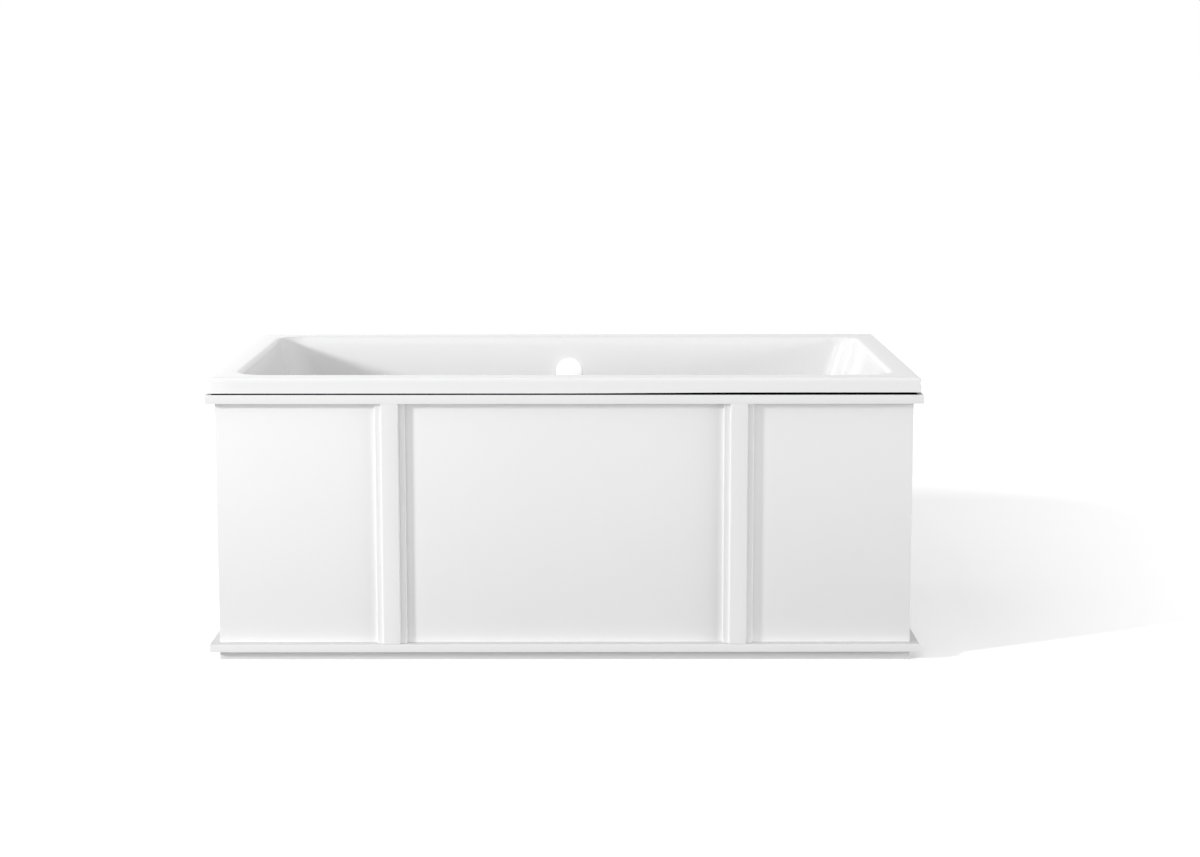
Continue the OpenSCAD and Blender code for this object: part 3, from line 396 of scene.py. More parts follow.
def white_powder_coat():
    """Powder coat baked on brass, with a painted glow that lifts it to a purer white than the enamel."""
    material, tree, shader, place = new_material("white_powder_coat")
    peel = node(tree, "ShaderNodeTexNoise", {"Vector": place, "Scale": 1 / (1.5 * MM), "Detail": 2.0})
    bump = node(tree, "ShaderNodeBump", {"Height": peel.outputs["Fac"], "Strength": 0.3, "Distance": 0.02 * MM})
    tree.links.new(bump.outputs["Normal"], shader.inputs["Normal"])
    shader.inputs["Base Color"].default_value = (*colours().cap, 1)
    shader.inputs["Roughness"].default_value = 0.35
    # Painted glow: the cap gives off light of its own so that it shows pure white
    shader.inputs["Emission Color"].default_value = (*colours().cap, 1)
    shader.inputs["Emission Strength"].default_value = 0.14
    return material


def closed_cell_foam():
    """Closed-cell foam rubber: black, quite matt, with cells just under a millimetre across."""
    material, tree, shader, place = new_material("closed_cell_foam")
    cells = node(tree, "ShaderNodeTexVoronoi", {"Vector": place, "Scale": 1 / (0.8 * MM)})
    bump = node(tree, "ShaderNodeBump", {
        "Height": cells.outputs["Distance"], "Strength": 0.6, "Distance": 0.3 * MM})
    tree.links.new(bump.outputs["Normal"], shader.inputs["Normal"])
    shader.inputs["Base Color"].default_value = (*colours().foam, 1)
    shader.inputs["Roughness"].default_value = 0.95
    shader.inputs["Specular IOR Level"].default_value = 0.0
    return material


def planed_softwood():
    """Planed pine: growth rings drawn out along the post, and a dry open surface."""
    material, tree, shader, place = new_material("planed_softwood")
    ring, run = 9 * MM, 260 * MM
    stretch = node(tree, "ShaderNodeMapping", {"Vector": place, "Scale": (1 / ring, 1 / ring, 1 / run)})
    rings = node(tree, "ShaderNodeTexNoise", {
        "Vector": stretch.outputs["Vector"], "Scale": 1.0, "Detail": 5.0, "Distortion": 0.8})
    colour = node(tree, "ShaderNodeValToRGB", {"Fac": rings.outputs["Fac"]})
    colour.color_ramp.elements[0].position = 0.35
    colour.color_ramp.elements[0].color = linear("A8804F")
    colour.color_ramp.elements[1].position = 0.62
    colour.color_ramp.elements[1].color = linear("D9BB8B")
    bump = node(tree, "ShaderNodeBump", {"Height": rings.outputs["Fac"], "Strength": 0.4, "Distance": 0.2 * MM})
    tree.links.new(colour.outputs["Color"], shader.inputs["Base Color"])
    tree.links.new(bump.outputs["Normal"], shader.inputs["Normal"])
    shader.inputs["Roughness"].default_value = 0.72
    return material


def metal(name, code, roughness_low, roughness_high, patch_mm, bump_mm):
    """A bare or plated metal whose gloss varies in patches of a real size."""
    material, tree, shader, place = new_material(name)
    patches = node(tree, "ShaderNodeTexNoise", {"Vector": place, "Scale": 1 / (patch_mm * MM), "Detail": 3.0})
    gloss = node(tree, "ShaderNodeMapRange", {
        "Value": patches.outputs["Fac"], "To Min": roughness_low, "To Max": roughness_high})
    bump = node(tree, "ShaderNodeBump", {
        "Height": patches.outputs["Fac"], "Strength": 0.4, "Distance": bump_mm * MM})
    tree.links.new(gloss.outputs["Result"], shader.inputs["Roughness"])
    tree.links.new(bump.outputs["Normal"], shader.inputs["Normal"])
    shader.inputs["Base Color"].default_value = linear(code)
    shader.inputs["Metallic"].default_value = 1.0
    return material


def moulded(name, code, roughness, grain_mm, bump_mm):
    """A moulded plastic or rubber with the fine grain of its mould."""
    material, tree, shader, place = new_material(name)
    grain = node(tree, "ShaderNodeTexNoise", {"Vector": place, "Scale": 1 / (grain_mm * MM), "Detail": 3.0})
    bump = node(tree, "ShaderNodeBump", {
        "Height": grain.outputs["Fac"], "Strength": 0.4, "Distance": bump_mm * MM})
    gloss = node(tree, "ShaderNodeMapRange", {
        "Value": grain.outputs["Fac"], "To Min": roughness - 0.06, "To Max": roughness + 0.06})
    tree.links.new(gloss.outputs["Result"], shader.inputs["Roughness"])
    tree.links.new(bump.outputs["Normal"], shader.inputs["Normal"])
    shader.inputs["Base Color"].default_value = linear(code)
    return material


def finish_named(name):
    """The material of that name, made the first time that it is asked for."""
    made = bpy.data.materials.get(name)
    if made:
        return made
    makers = {
        "vitreous_enamel": vitreous_enamel,
        "satin_paint": satin_paint,
        "white_powder_coat": white_powder_coat,
        "closed_cell_foam": closed_cell_foam,
        "planed_softwood": planed_softwood,
        # Zinc plate: grey, half matt, with faint spangle
        "zinc_plated_steel": lambda: metal("zinc_plated_steel", "B9BDC0", 0.3, 0.5, 4, 0.02),
        # Chrome plate on turned brass: a clean mirror
        "chrome_plated_brass": lambda: metal("chrome_plated_brass", "D6D9DC", 0.05, 0.1, 30, 0.01),
        # Sand-cast iron under black primer: coarse skin, dull sheen
        "primed_cast_iron": lambda: moulded("primed_cast_iron", "26272A", 0.62, 1.2, 0.25),
        # Moulded rubber: nearly black, matt
        "moulded_rubber": lambda: moulded("moulded_rubber", "18181A", 0.7, 0.8, 0.03),
        # Injection-moulded ABS: grey with a fine spark-eroded grain
        "moulded_abs": lambda: moulded("moulded_abs", "6C7074", 0.45, 0.6, 0.02),
        # Extruded PVC sheath: black, smooth, slightly glossy
        "extruded_pvc": lambda: moulded("extruded_pvc", "1B1B1C", 0.38, 2.0, 0.02),
    }
    return makers[name]()


FITTING_FINISHES = {
    "timber": "planed_softwood",
    "zinc_steel": "zinc_plated_steel",
    "raw_iron": "primed_cast_iron",
    "black_foam": "closed_cell_foam",
    "black_rubber": "moulded_rubber",
    "chrome": "chrome_plated_brass",
    "grey_plastic": "moulded_abs",
    "cable_sheath": "extruded_pvc",
    "enamel": "vitreous_enamel",
    "painted_board": "satin_paint",
    "white_cap": "white_powder_coat",
}


# Pieces


class BATH_OT_enamel_shell(bpy.types.Operator):
    """Model the enamelled iron bath: flared rim, flat deck, roll and deep basin"""

    bl_idname = "bath.enamel_shell"
    bl_label = "Enamelled Shell"

    CORNER_STEPS = 16
    EDGE_STEPS = 8
    ROLL_STEPS = 12
    FOOT_STEPS = 10
    OVERFLOW_HOLE = 27 * MM
    DRAIN_HOLE = 26.5 * MM

    def section(self, half_x, half_y, radius, height):
        """One level of the casting: the outline of a plane with rounded corners."""
        bpy.ops.object.select_all(action="DESELECT")
        bpy.ops.mesh.primitive_plane_add(size=2, location=(0, 0, height))
        piece = bpy.context.active_object
        piece.scale = (half_x, half_y, 1)
        begin("section")
        bpy.ops.mesh.select_all(action="SELECT")
        bpy.ops.mesh.bevel(offset=radius, segments=self.CORNER_STEPS, affect="VERTICES")
        bpy.ops.mesh.delete(type="ONLY_FACE")
        bpy.ops.object.mode_set(mode="OBJECT")
        return piece

    def skin(self, name, levels):
        """Joins sections of half sizes, corner radius and height, and bridges each to the next."""
        pieces = [self.section(*level) for level in levels]
        for piece in pieces:
            piece.select_set(True)
        bpy.ops.object.join()
        piece = bpy.context.active_object
        piece.name = name
        piece.data.name = name
        bpy.ops.object.mode_set(mode="EDIT")
        for heights in zip([level[3] for level in levels], [level[3] for level in levels[1:]]):
            pick(piece, "edges", lambda e: any(lies_at(piece, e, height) for height in heights))
            bpy.ops.mesh.bridge_edge_loops()
        bpy.ops.object.mode_set(mode="OBJECT")
        return piece

    def edge_levels(self, s, top):
        """The rim's edge, from its lower lip up to the deck."""
        half_x, half_y = -SHELL_LOW.x, -SHELL_LOW.y
        levels = [(half_x, half_y, s.rim_corner, top - s.rim_height)]
        for step in range(self.EDGE_STEPS + 1):
            angle = step * math.pi / 2 / self.EDGE_STEPS
            inset = s.rim_flare + s.rim_round * (1 - math.cos(angle))
            levels.append((half_x - inset, half_y - inset, s.rim_corner,
                           top - s.rim_round_height * (1 - math.sin(angle))))
        return levels

    def basin_levels(self, s, top):
        """The roll, the walls and the rounded foot, from the deck's inner edge down to the floor."""
        half_x = -SHELL_LOW.x - s.deck_end
        half_y = -SHELL_LOW.y - s.deck_side

        def end_reach(depth):
            if depth < s.roll_end:
                return math.sqrt(depth * (2 * s.roll_end - depth))
            return s.roll_end + (depth - s.roll_end) * math.tan(s.end_slope)

        levels = []
        for step in range(self.ROLL_STEPS + 1):
            angle = step * math.pi / 2 / self.ROLL_STEPS
            depth = s.roll * (1 - math.cos(angle))
            reach = s.roll * math.sin(angle)
            levels.append((half_x - end_reach(depth), half_y - reach, s.opening_corner - reach, top - depth))
        wall_x, wall_y, wall_corner, wall_top = levels[-1]
        centre = top - s.basin_depth + s.foot
        drop = wall_top - centre
        foot_x = wall_x - (s.foot + math.sin(s.end_slope) * drop) / math.cos(s.end_slope)
        foot_y = wall_y - (s.foot + math.sin(s.side_slope) * drop) / math.cos(s.side_slope)
        for part in (0.25, 0.5, 0.75, 1.0):
            depth = part * drop
            levels.append((wall_x - depth * math.tan(s.end_slope), wall_y - depth * math.tan(s.side_slope),
                           wall_corner + part * (s.foot - wall_corner), wall_top - depth))
        for step in range(1, self.FOOT_STEPS + 1):
            angle = step * math.pi / 2 / self.FOOT_STEPS
            low, reach = s.foot * math.sin(angle), max(s.foot * math.cos(angle), MM)
            end = wall_x - (drop + low) * math.tan(s.end_slope) if angle < s.end_slope else foot_x + reach
            side = wall_y - (drop + low) * math.tan(s.side_slope) if angle < s.side_slope else foot_y + reach
            levels.append((end, side, reach, centre - low))
        return levels

    def in_basin(self, s, co):
        """True for a point within the opening, seen from above."""
        return abs(co.x) < -SHELL_LOW.x - s.deck_end + MM and abs(co.y) < -SHELL_LOW.y - s.deck_side + MM

    def raise_lip(self, piece, s, top):
        """Lets the casting's lower edge rise towards the right."""
        rise_from, rise_to = -33 * MM, 408 * MM
        flare = s.rim_flare / (s.rim_height - s.rim_round_height)
        for vertex in piece.data.vertices:
            co = vertex.co
            if not self.in_basin(s, co) and co.z < top - s.rim_height + MM:
                share = min(1.0, max(0.0, (co.x - rise_from) / (rise_to - rise_from)))
                rise = s.lip_rise * share * share * (3 - 2 * share)
                co.z += rise
                co.x *= 1 + flare * rise / SHELL_LOW.x
                co.y *= 1 + flare * rise / SHELL_LOW.y

    def bore(self, piece, centre, axis, radius):
        """Cuts a round hole through the iron."""
        bpy.ops.object.select_all(action="DESELECT")
        bpy.ops.mesh.primitive_cylinder_add(vertices=64, radius=radius, depth=40 * MM, location=centre)
        cutter = bpy.context.active_object
        cutter.rotation_euler = Vector(axis).to_track_quat("Z", "Y").to_euler()
        bpy.ops.object.transform_apply(location=True, rotation=True, scale=True)
        apply_modifier(piece, "BOOLEAN", operation="DIFFERENCE", object=cutter, solver="EXACT")
        bpy.data.objects.remove(cutter)

    def execute(self, context):
        s = sizes()
        top = SHELL_HIGH.z
        edge = self.skin("rim_edge", self.edge_levels(s, top))
        piece = self.skin("enamelled_bath", self.basin_levels(s, top))
        floor = top - s.basin_depth
        lowered = 100 * MM
        bpy.ops.object.mode_set(mode="EDIT")
        pick(piece, "edges", lambda e: lies_at(piece, e, floor))
        bpy.ops.mesh.edge_face_add()
        # The basin hangs lower for a moment: two loops at one height would be bridged crosswise
        bpy.ops.mesh.select_all(action="SELECT")
        bpy.ops.transform.translate(value=(0, 0, -lowered))
        bpy.ops.object.mode_set(mode="OBJECT")
        bpy.ops.object.select_all(action="DESELECT")
        edge.select_set(True)
        piece.select_set(True)
        bpy.context.view_layer.objects.active = piece
        bpy.ops.object.join()
        bpy.ops.object.mode_set(mode="EDIT")
        pick(piece, "edges", lambda e: lies_at(piece, e, top) or lies_at(piece, e, top - lowered))
        bpy.ops.mesh.bridge_edge_loops()
        pick(piece, "vertices", lambda v: self.in_basin(s, v.co))
        bpy.ops.transform.translate(value=(0, 0, lowered))
        # Short edges along the length, so that the lip can rise
        pick(piece, "edges", lambda e: runs_along(piece, e, 0) and length_of(piece, e) > 200 * MM)
        bpy.ops.mesh.subdivide(number_cuts=23)
        bpy.ops.mesh.select_all(action="SELECT")
        bpy.ops.mesh.normals_make_consistent(inside=False)
        bpy.ops.object.mode_set(mode="OBJECT")
        self.raise_lip(piece, s, top)
        apply_modifier(piece, "SOLIDIFY", thickness=s.iron, offset=-1.0, use_even_offset=True)
        bpy.ops.object.mode_set(mode="EDIT")
        bpy.ops.mesh.select_all(action="SELECT")
        bpy.ops.mesh.remove_doubles(threshold=0.05 * MM)
        bpy.ops.object.mode_set(mode="OBJECT")
        self.bore(piece, OVERFLOW_CENTRE, OVERFLOW_AXIS, self.OVERFLOW_HOLE)
        self.bore(piece, (DRAIN_CENTRE.x, DRAIN_CENTRE.y, floor), (0, 0, 1), self.DRAIN_HOLE)
        settle(piece, finish_named("vitreous_enamel"), "root", "enamel", "bath_shell", smooth=32.0)
        return {"FINISHED"}


def mitred_board(name, end, width):
    """A cap rail or ledge board: a cube with its inner corners drawn in to the mitres and its edges eased."""
    low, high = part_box(name)
    piece = add_cube(name + "_board", low, high)
    along, across = (1, 0) if end else (0, 1)
    side = 1 if (low + high)[across] > 0 else -1
    inner = (low if side > 0 else high)[across]
    for sign in (-1, 1):
        tip = (high if sign > 0 else low)[along]
        pick(piece, "vertices", lambda v: abs(v.co[across] - inner) < MM and abs(v.co[along] - tip) < MM)
        shift = [0, 0, 0]
        shift[along] = -sign * width
        bpy.ops.transform.translate(value=shift)
        # The corner that the two boards share is cut off at half of their easing
        outward = Vector((0, 0, 0))
        outward[along], outward[across] = sign, side
        corner = Vector((0, 0, 0))
        corner[along] = tip
        corner[across] = (high if side > 0 else low)[across]
        bpy.ops.mesh.select_all(action="SELECT")
        bpy.ops.mesh.bisect(plane_co=corner - outward * sizes().board_edge * 0.5, plane_no=outward,
                            use_fill=True, clear_outer=True)
    pick(piece, "edges", lambda e: runs_along(piece, e, along) and length_of(piece, e) > 100 * MM)
    bpy.ops.mesh.bevel(offset=sizes().board_edge, segments=3, affect="EDGES")
    settle(piece, finish_named("satin_paint"), "root", "painted_board", name)


class BATH_OT_cap_rail(bpy.types.Operator):
    """Model the four mitred boards under the rim"""

    bl_idname = "bath.cap_rail"
    bl_label = "Cap Rail"

    def execute(self, context):
        for place in ("front", "back", "left", "right"):
            mitred_board("cap_rail_" + place, place in ("left", "right"), (RAIL_HIGH - RAIL_LOW).y)
        return {"FINISHED"}


class BATH_OT_ledge(bpy.types.Operator):
    """Model the four mitred boards at the foot of the panels"""

    bl_idname = "bath.ledge"
    bl_label = "Ledge"

    def execute(self, context):
        low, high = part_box("ledge_front")
        for place in ("front", "back", "left", "right"):
            mitred_board("ledge_" + place, place in ("left", "right"), (high - low).y)
        return {"FINISHED"}


class BATH_OT_panels(bpy.types.Operator):
    """Model the flush panels and the plinth boards, with their edges eased"""

    bl_idname = "bath.panels"
    bl_label = "Panels and Plinth"

    def execute(self, context):
        for kind in ("{}_panel", "plinth_{}"):
            for place in ("front", "back", "left", "right"):
                name = kind.format(place)
                piece = add_cube(name + "_board", *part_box(name))
                bpy.ops.mesh.select_all(action="SELECT")
                bpy.ops.mesh.bevel(offset=sizes().board_edge * 0.6, segments=3, affect="EDGES")
                settle(piece, finish_named("satin_paint"), "root", "painted_board", name)
        return {"FINISHED"}


class BATH_OT_pilasters(bpy.types.Operator):
    """Model the stepped pilasters: a base strip with a raised face drawn out of it"""

    bl_idname = "bath.pilasters"
    bl_label = "Pilasters"

    def execute(self, context):
        s = sizes()
        for name in [n for n in frame["nodes"] if n.startswith("pilaster_")]:
            low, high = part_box(name)
            front = low.y < 0
            middle = (low.x + high.x) / 2
            out = -1 if front else 1
            foot = high.y if front else low.y
            face = foot + out * s.pilaster_step
            piece = add_cube(name + "_strip", (low.x, min(foot, face), low.z), (high.x, max(foot, face), high.z))
            for sign in (-1, 1):
                bpy.ops.mesh.select_all(action="SELECT")
                bpy.ops.mesh.bisect(plane_co=(middle + sign * s.pilaster_face / 2, 0, 0), plane_no=(1, 0, 0))
            pick(piece, "polygons", lambda f: f.normal.y * out > 0.9 and abs(f.center.x - middle) < 5 * MM)
            bpy.ops.mesh.extrude_region_move(
                TRANSFORM_OT_translate={"value": (0, (low.y if front else high.y) - face, 0)})
            bpy.ops.mesh.select_all(action="SELECT")
            bpy.ops.mesh.normals_make_consistent(inside=False)
            shoulders = (low.x, high.x, middle - s.pilaster_face / 2, middle + s.pilaster_face / 2)
            pick(piece, "edges", lambda e: runs_along(piece, e, 2)
                 and any(abs(ends_of(piece, e)[0].x - x) < MM for x in shoulders)
                 and not self.is_inner(piece, e, foot, face, shoulders))
            bpy.ops.mesh.bevel(offset=s.pilaster_edge, segments=4, affect="EDGES")
            settle(piece, finish_named("satin_paint"), "root", "painted_board", name)
        return {"FINISHED"}

    def is_inner(self, piece, edge, foot, face, shoulders):
        """True for the edges on the panel and for those in the corner between step and raised face."""
        at = ends_of(piece, edge)[0]
        in_corner = abs(at.y - face) < MM / 2 and min(abs(at.x - x) for x in shoulders[2:]) < MM / 2
        return abs(at.y - foot) < MM / 2 or in_corner


class BATH_OT_overflow_cap(bpy.types.Operator):
    """Turn the overflow's cap: a plain disc with a soft edge and a faint crown"""

    bl_idname = "bath.overflow_cap"
    bl_label = "Overflow Cap"

    def execute(self, context):
        radius, back, front = 31.5 * MM, 6 * MM, 16 * MM
        hub, bore, seat = 8 * MM, 4.05 * MM, 2.8 * MM
        hollow, brim, end = back + 1.5 * MM, radius - 3 * MM, back + 5 * MM
        profile = [(TIP, end), (bore, end), (bore, seat), (hub, seat), (hub, hollow), (brim, hollow), (brim, back),
                   (radius, back), (radius, front - 1.2 * MM), (radius * 0.6, front - 0.4 * MM),
                   (TIP, front - 0.2 * MM)]
        piece = lathe("overflow_turn_cap", profile)
        soften(piece, width=1.0 * MM, segments=4, angle=40)
        piece.rotation_euler = OVERFLOW_AXIS.to_track_quat("Z", "Y").to_euler()
        piece.location = OVERFLOW_CENTRE
        settle(piece, finish_named("white_powder_coat"), "overflow_handle", "white_cap", "overflow_cap",
               smooth=50.0)
        # The disc leaves no shadow on the wall in the photograph
        piece.visible_shadow = False
        return {"FINISHED"}


class BATH_OT_drain(bpy.types.Operator):
    """Turn the drain's dished flange and its domed plug"""

    bl_idname = "bath.drain"
    bl_label = "Drain"

    STEM_BORE = 3.05 * MM
    SLEEVE_BORE = 21 * MM

    def execute(self, context):
        low, high = FLANGE_LOW, FLANGE_HIGH
        foot, seat = high.z - 3 * MM, high.z - 2 * MM
        radius, sleeve, bore = 35 * MM, 25 * MM, self.SLEEVE_BORE
        profile = [(radius, foot), (radius, foot + 0.8 * MM), (radius - 2 * MM, foot + 2.2 * MM),
                   (radius - 5 * MM, high.z), (27.8 * MM, high.z), (27.5 * MM, seat), (bore, seat),
                   (bore, low.z), (sleeve, low.z), (sleeve, foot)]
        flange = lathe("drain_flange_ring", profile)
        soften(flange, width=0.4 * MM, segments=2, angle=35)
        self.add_spider(flange, low.z)
        flange.location = (DRAIN_CENTRE.x, DRAIN_CENTRE.y, 0)
        settle(flange, finish_named("chrome_plated_brass"), "root", "chrome", "drain_flange", smooth=35.0)
        base, crown = PLUG_LOW.z, PLUG_HIGH.z
        radius, socket = 26.5 * MM, base + 2 * MM
        profile = [(TIP, crown), (8 * MM, crown - 0.1 * MM), (15 * MM, crown - 0.45 * MM),
                   (21.5 * MM, crown - 1.2 * MM), (25 * MM, crown - 2.2 * MM), (radius, crown - 3.1 * MM),
                   (radius, base), (self.STEM_BORE, base), (self.STEM_BORE, socket), (TIP, socket)]
        plug = lathe("drain_plug_dome", profile)
        soften(plug, width=0.3 * MM, segments=2, angle=40)
        plug.location = (DRAIN_CENTRE.x, DRAIN_CENTRE.y, 0)
        settle(plug, finish_named("chrome_plated_brass"), "plug", "chrome", "drain_plug", smooth=50.0)
        return {"FINISHED"}

    def add_spider(self, flange, floor):
        """Three arms and a hub at the sleeve's lower end, which guide the plug's stem."""
        bore, radius, arm_end, half_arm, top = self.STEM_BORE, 6 * MM, 22 * MM, 1.5 * MM, floor + 6 * MM
        hub = lathe("spider_hub", [(bore, floor), (radius, floor), (radius, top), (bore, top)], steps=32)
        bpy.ops.object.mode_set(mode="OBJECT")
        parts = [hub]
        for arm in range(3):
            piece = add_cube("spider_arm", (radius - MM, -half_arm, floor), (arm_end, half_arm, top))
            bpy.ops.object.mode_set(mode="OBJECT")
            piece.rotation_euler.z = math.radians(30 + 120 * arm)
            bpy.ops.object.transform_apply(location=True, rotation=True, scale=True)
            parts.append(piece)
        bpy.ops.object.select_all(action="DESELECT")
        for piece in parts + [flange]:
            piece.select_set(True)
        bpy.context.view_layer.objects.active = flange
        bpy.ops.object.join()


class BATH_OT_fittings(bpy.types.Operator):
    """Give every fitting that keeps its own shape its real finish"""

    bl_idname = "bath.fittings"
    bl_label = "Fittings"

    def execute(self, context):
        slot_of = {row["node"]: row["material_slot"] for row in frame["record"]["subparts"]}
        for name, piece in frame["nodes"].items():
            if piece.hide_render:
                continue
            material = finish_named(FITTING_FINISHES[slot_of[name]])
            if not piece.material_slots:
                piece.data.materials.append(material)
            for slot in piece.material_slots:
                slot.material = material
        return {"FINISHED"}


class BATH_OT_stage(bpy.types.Operator):
    """Set the white studio: floor, sky, lamps and camera"""

    bl_idname = "bath.stage"
    bl_label = "Studio"

    # The key light's direction, as the shadows in the basin, under the rail and on the floor give it
    KEY_AZIMUTH = math.radians(61)
    KEY_ELEVATION = math.radians(16.4)
    KEY_DISTANCE = 7.5
    KEY_WIDTH = 0.75
    # Glow of the floor in the bath's shadow and beyond its end, with the metres of X over which it grows
    SHADOW_GLOW, OPEN_GLOW, FADE_X = 0.175, 0.31, (0.98, 1.72)
    # Glow that is added far from the bath, with the metres from the middle over which it grows
    FAR_GLOW, FADE_FAR = 0.5, (2.1, 3.6)
    # How much stronger the studio's reflection is at the left than at the right
    GLOSS_LEFT = 1.36
    # The camera as fitted to the photograph's edges: metres, degrees and pixels
    CAMERA_PLACE = (0.0537, -5.5506, 1.2327)
    CAMERA_DOWN, CAMERA_TURN = 8.128, -0.246
    FOCAL_PIXELS = 2427.2

    def floor(self, studio):
        """A matt white floor that the camera sees as pure white wherever no shadow lies on it."""
        material, tree, shader, place = new_material("white_studio_floor")
        shader.inputs["Roughness"].default_value = 0.9
        shader.inputs["Specular IOR Level"].default_value = 0.0
        seen = node(tree, "ShaderNodeLightPath")
        shade = node(tree, "ShaderNodeMix", {
            "Factor": seen.outputs["Is Camera Ray"], "A": (*studio.floor, 1), "B": (1, 1, 1, 1)}, data_type="RGBA")
        tree.links.new(shade.outputs["Result"], shader.inputs["Base Color"])
        # A glow that only the camera sees: it keeps the shadow by the bath, lets it fade out to the right,
        # and makes the floor farther off pure white
        part = node(tree, "ShaderNodeSeparateXYZ", {0: place})
        near = node(tree, "ShaderNodeMapRange", {
            "Value": part.outputs["X"], "From Min": self.FADE_X[0], "From Max": self.FADE_X[1],
            "To Min": self.SHADOW_GLOW, "To Max": self.OPEN_GLOW})
        away = node(tree, "ShaderNodeVectorMath", {0: place}, operation="LENGTH")
        far = node(tree, "ShaderNodeMapRange", {
            "Value": away.outputs["Value"], "From Min": self.FADE_FAR[0], "From Max": self.FADE_FAR[1],
            "To Max": self.FAR_GLOW})
        glow = node(tree, "ShaderNodeMath", {
            0: near.outputs["Result"], 1: far.outputs["Result"]}, operation="ADD")
        shown = node(tree, "ShaderNodeMath", {
            0: glow.outputs[0], 1: seen.outputs["Is Camera Ray"]}, operation="MULTIPLY")
        shader.inputs["Emission Color"].default_value = (1, 1, 1, 1)
        tree.links.new(shown.outputs[0], shader.inputs["Emission Strength"])
        bpy.ops.object.select_all(action="DESELECT")
        bpy.ops.mesh.primitive_plane_add(size=60, location=(0, 0, 0))
        floor = bpy.context.active_object
        floor.name = "studio_floor"
        floor.data.materials.append(material)

    def sky(self, studio):
        """White all round to the camera. On the bath it is soft light, stronger from above and from the left."""
        world = bpy.data.worlds.new("white_studio")
        bpy.context.scene.world = world
        # Rays alone find the sky, so that each kind of ray sees its own strength
        world.cycles.sampling_method = "NONE"
        world.use_nodes = True
        tree = world.node_tree
        tree.nodes.clear()
        seen = node(tree, "ShaderNodeLightPath")
        way = node(tree, "ShaderNodeTexCoord").outputs["Generated"]
        part = node(tree, "ShaderNodeSeparateXYZ", {0: way})
        left = node(tree, "ShaderNodeMapRange", {
            "Value": part.outputs["X"], "From Min": 0.0, "From Max": -1.0, "To Max": studio.sky_left})
        above = node(tree, "ShaderNodeMapRange", {"Value": part.outputs["Z"], "To Max": studio.sky_up})
        soft = node(tree, "ShaderNodeMath", {
            0: left.outputs["Result"], 1: above.outputs["Result"]}, operation="ADD")
        gloss = node(tree, "ShaderNodeMapRange", {
            "Value": part.outputs["X"], "From Min": 1 / 6, "From Max": -1 / 6,
            "To Min": studio.sky_gloss, "To Max": studio.sky_gloss * self.GLOSS_LEFT})
        lit = node(tree, "ShaderNodeMix", {
            "Factor": seen.outputs["Is Glossy Ray"], "A": soft.outputs[0], "B": gloss.outputs["Result"]})
        clear = node(tree, "ShaderNodeMath", {
            0: seen.outputs["Is Camera Ray"], 1: seen.outputs["Is Transmission Ray"]}, operation="MAXIMUM")
        strength = node(tree, "ShaderNodeMix", {
            "Factor": clear.outputs[0], "A": lit.outputs["Result"], "B": 1.0})
        light = node(tree, "ShaderNodeBackground", {
            "Color": (1, 1, 1, 1), "Strength": strength.outputs["Result"]})
        output = node(tree, "ShaderNodeOutputWorld")
        tree.links.new(light.outputs[0], output.inputs["Surface"])

    def lamp(self, name, power, place, target, width, height=None):
        """A round lamp, or a softbox where a height is given, turned towards a target."""
        data = bpy.data.lights.new(name, "AREA")
        data.energy = power
        data.size = width
        data.shape = "RECTANGLE" if height else "DISK"
        if height:
            data.size_y = height
        thing = bpy.data.objects.new(name, data)
        thing.location = place
        thing.rotation_euler = (Vector(place) - Vector(target)).to_track_quat("Z", "Y").to_euler()
        bpy.context.scene.collection.objects.link(thing)
        return thing

    def lamps(self, studio):
        """A round key lamp low at the left, whose shadows show, and three softboxes that fill them."""
        middle, face = Vector((0, -0.4, 0.45)), (0, -0.4, 0.4)
        level = math.cos(self.KEY_ELEVATION)
        away = Vector((-math.sin(self.KEY_AZIMUTH) * level, -math.cos(self.KEY_AZIMUTH) * level,
                       math.sin(self.KEY_ELEVATION)))
        place = middle + away * self.KEY_DISTANCE
        self.lamp("key_lamp", studio.key, place, middle, self.KEY_WIDTH)
        # The same lamp again for the floor alone: more light round the bath's shadow there
        twin = self.lamp("floor_key_lamp", studio.floor_key, place, middle, self.KEY_WIDTH)
        lit_by_twin = bpy.data.collections.new("lit_by_floor_key")
        lit_by_twin.objects.link(bpy.data.objects["studio_floor"])
        twin.light_linking.receiver_collection = lit_by_twin
        self.lamp("front_softbox", studio.front, (1.5, -7, 1.3), face, 6, 2.5)
        self.lamp("front_left_softbox", studio.front_left, (-3, -5.5, 1.1), face, 2.5, 1.6)
        self.lamp("right_softbox", studio.right, (6, -2.5, 1), face, 3, 1.6)

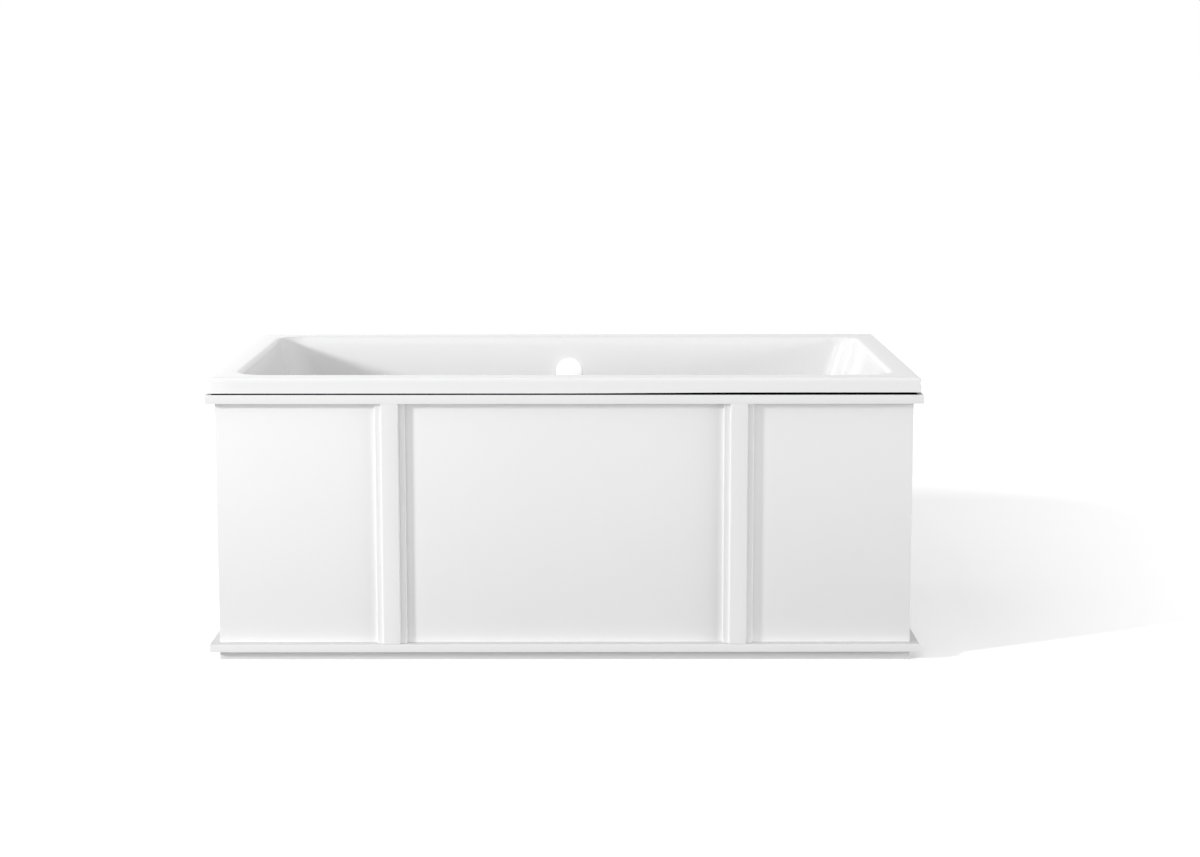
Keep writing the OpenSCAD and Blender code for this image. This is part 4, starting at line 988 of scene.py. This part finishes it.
    def camera(self):
        """The photograph's viewpoint: level with a standing eye, well back, looking slightly down."""
        data = bpy.data.cameras.new("studio_camera")
        data.sensor_width = 36.0
        data.lens = self.FOCAL_PIXELS / PHOTO_SIZE[0] * data.sensor_width
        camera = bpy.data.objects.new("studio_camera", data)
        camera.location = self.CAMERA_PLACE
        camera.rotation_euler = (math.radians(90 - self.CAMERA_DOWN), 0, math.radians(self.CAMERA_TURN))
        data.clip_end = 100
        bpy.context.scene.collection.objects.link(camera)
        bpy.context.scene.camera = camera

    def execute(self, context):
        studio = context.scene.bath_studio
        self.floor(studio)
        self.sky(studio)
        self.lamps(studio)
        self.camera()
        context.scene.view_settings.view_transform = "Standard"
        return {"FINISHED"}


class BATH_PT_panel(bpy.types.Panel):
    """Lists the bath's pieces and its sizes"""

    bl_label = "Bath"
    bl_idname = "BATH_PT_panel"
    bl_space_type = "VIEW_3D"
    bl_region_type = "UI"
    bl_category = "Bath"

    def draw(self, context):
        for operator in OPERATORS:
            self.layout.operator(operator.bl_idname)
        for group in (context.scene.bath_sizes, context.scene.bath_colours, context.scene.bath_studio):
            for name in group.__annotations__:
                self.layout.prop(group, name)


OPERATORS = (
    BATH_OT_stage,
    BATH_OT_enamel_shell,
    BATH_OT_cap_rail,
    BATH_OT_ledge,
    BATH_OT_panels,
    BATH_OT_pilasters,
    BATH_OT_overflow_cap,
    BATH_OT_drain,
    BATH_OT_fittings,
)
CLASSES = (BathSizes, BathColours, BathStudio, *OPERATORS, BATH_PT_panel)


def register():
    for cls in CLASSES:
        bpy.utils.register_class(cls)
    bpy.types.Scene.bath_sizes = bpy.props.PointerProperty(type=BathSizes)
    bpy.types.Scene.bath_colours = bpy.props.PointerProperty(type=BathColours)
    bpy.types.Scene.bath_studio = bpy.props.PointerProperty(type=BathStudio)


def unregister():
    for name in ("bath_sizes", "bath_colours", "bath_studio"):
        delattr(bpy.types.Scene, name)
    for cls in reversed(CLASSES):
        bpy.utils.unregister_class(cls)


def main():
    """Builds everything in order."""
    register()
    bpy.ops.bath.stage()
    bpy.ops.bath.enamel_shell()
    bpy.ops.bath.cap_rail()
    bpy.ops.bath.ledge()
    bpy.ops.bath.panels()
    bpy.ops.bath.pilasters()
    bpy.ops.bath.overflow_cap()
    bpy.ops.bath.drain()
    bpy.ops.bath.fittings()


if __name__ == "__main__":
    main()
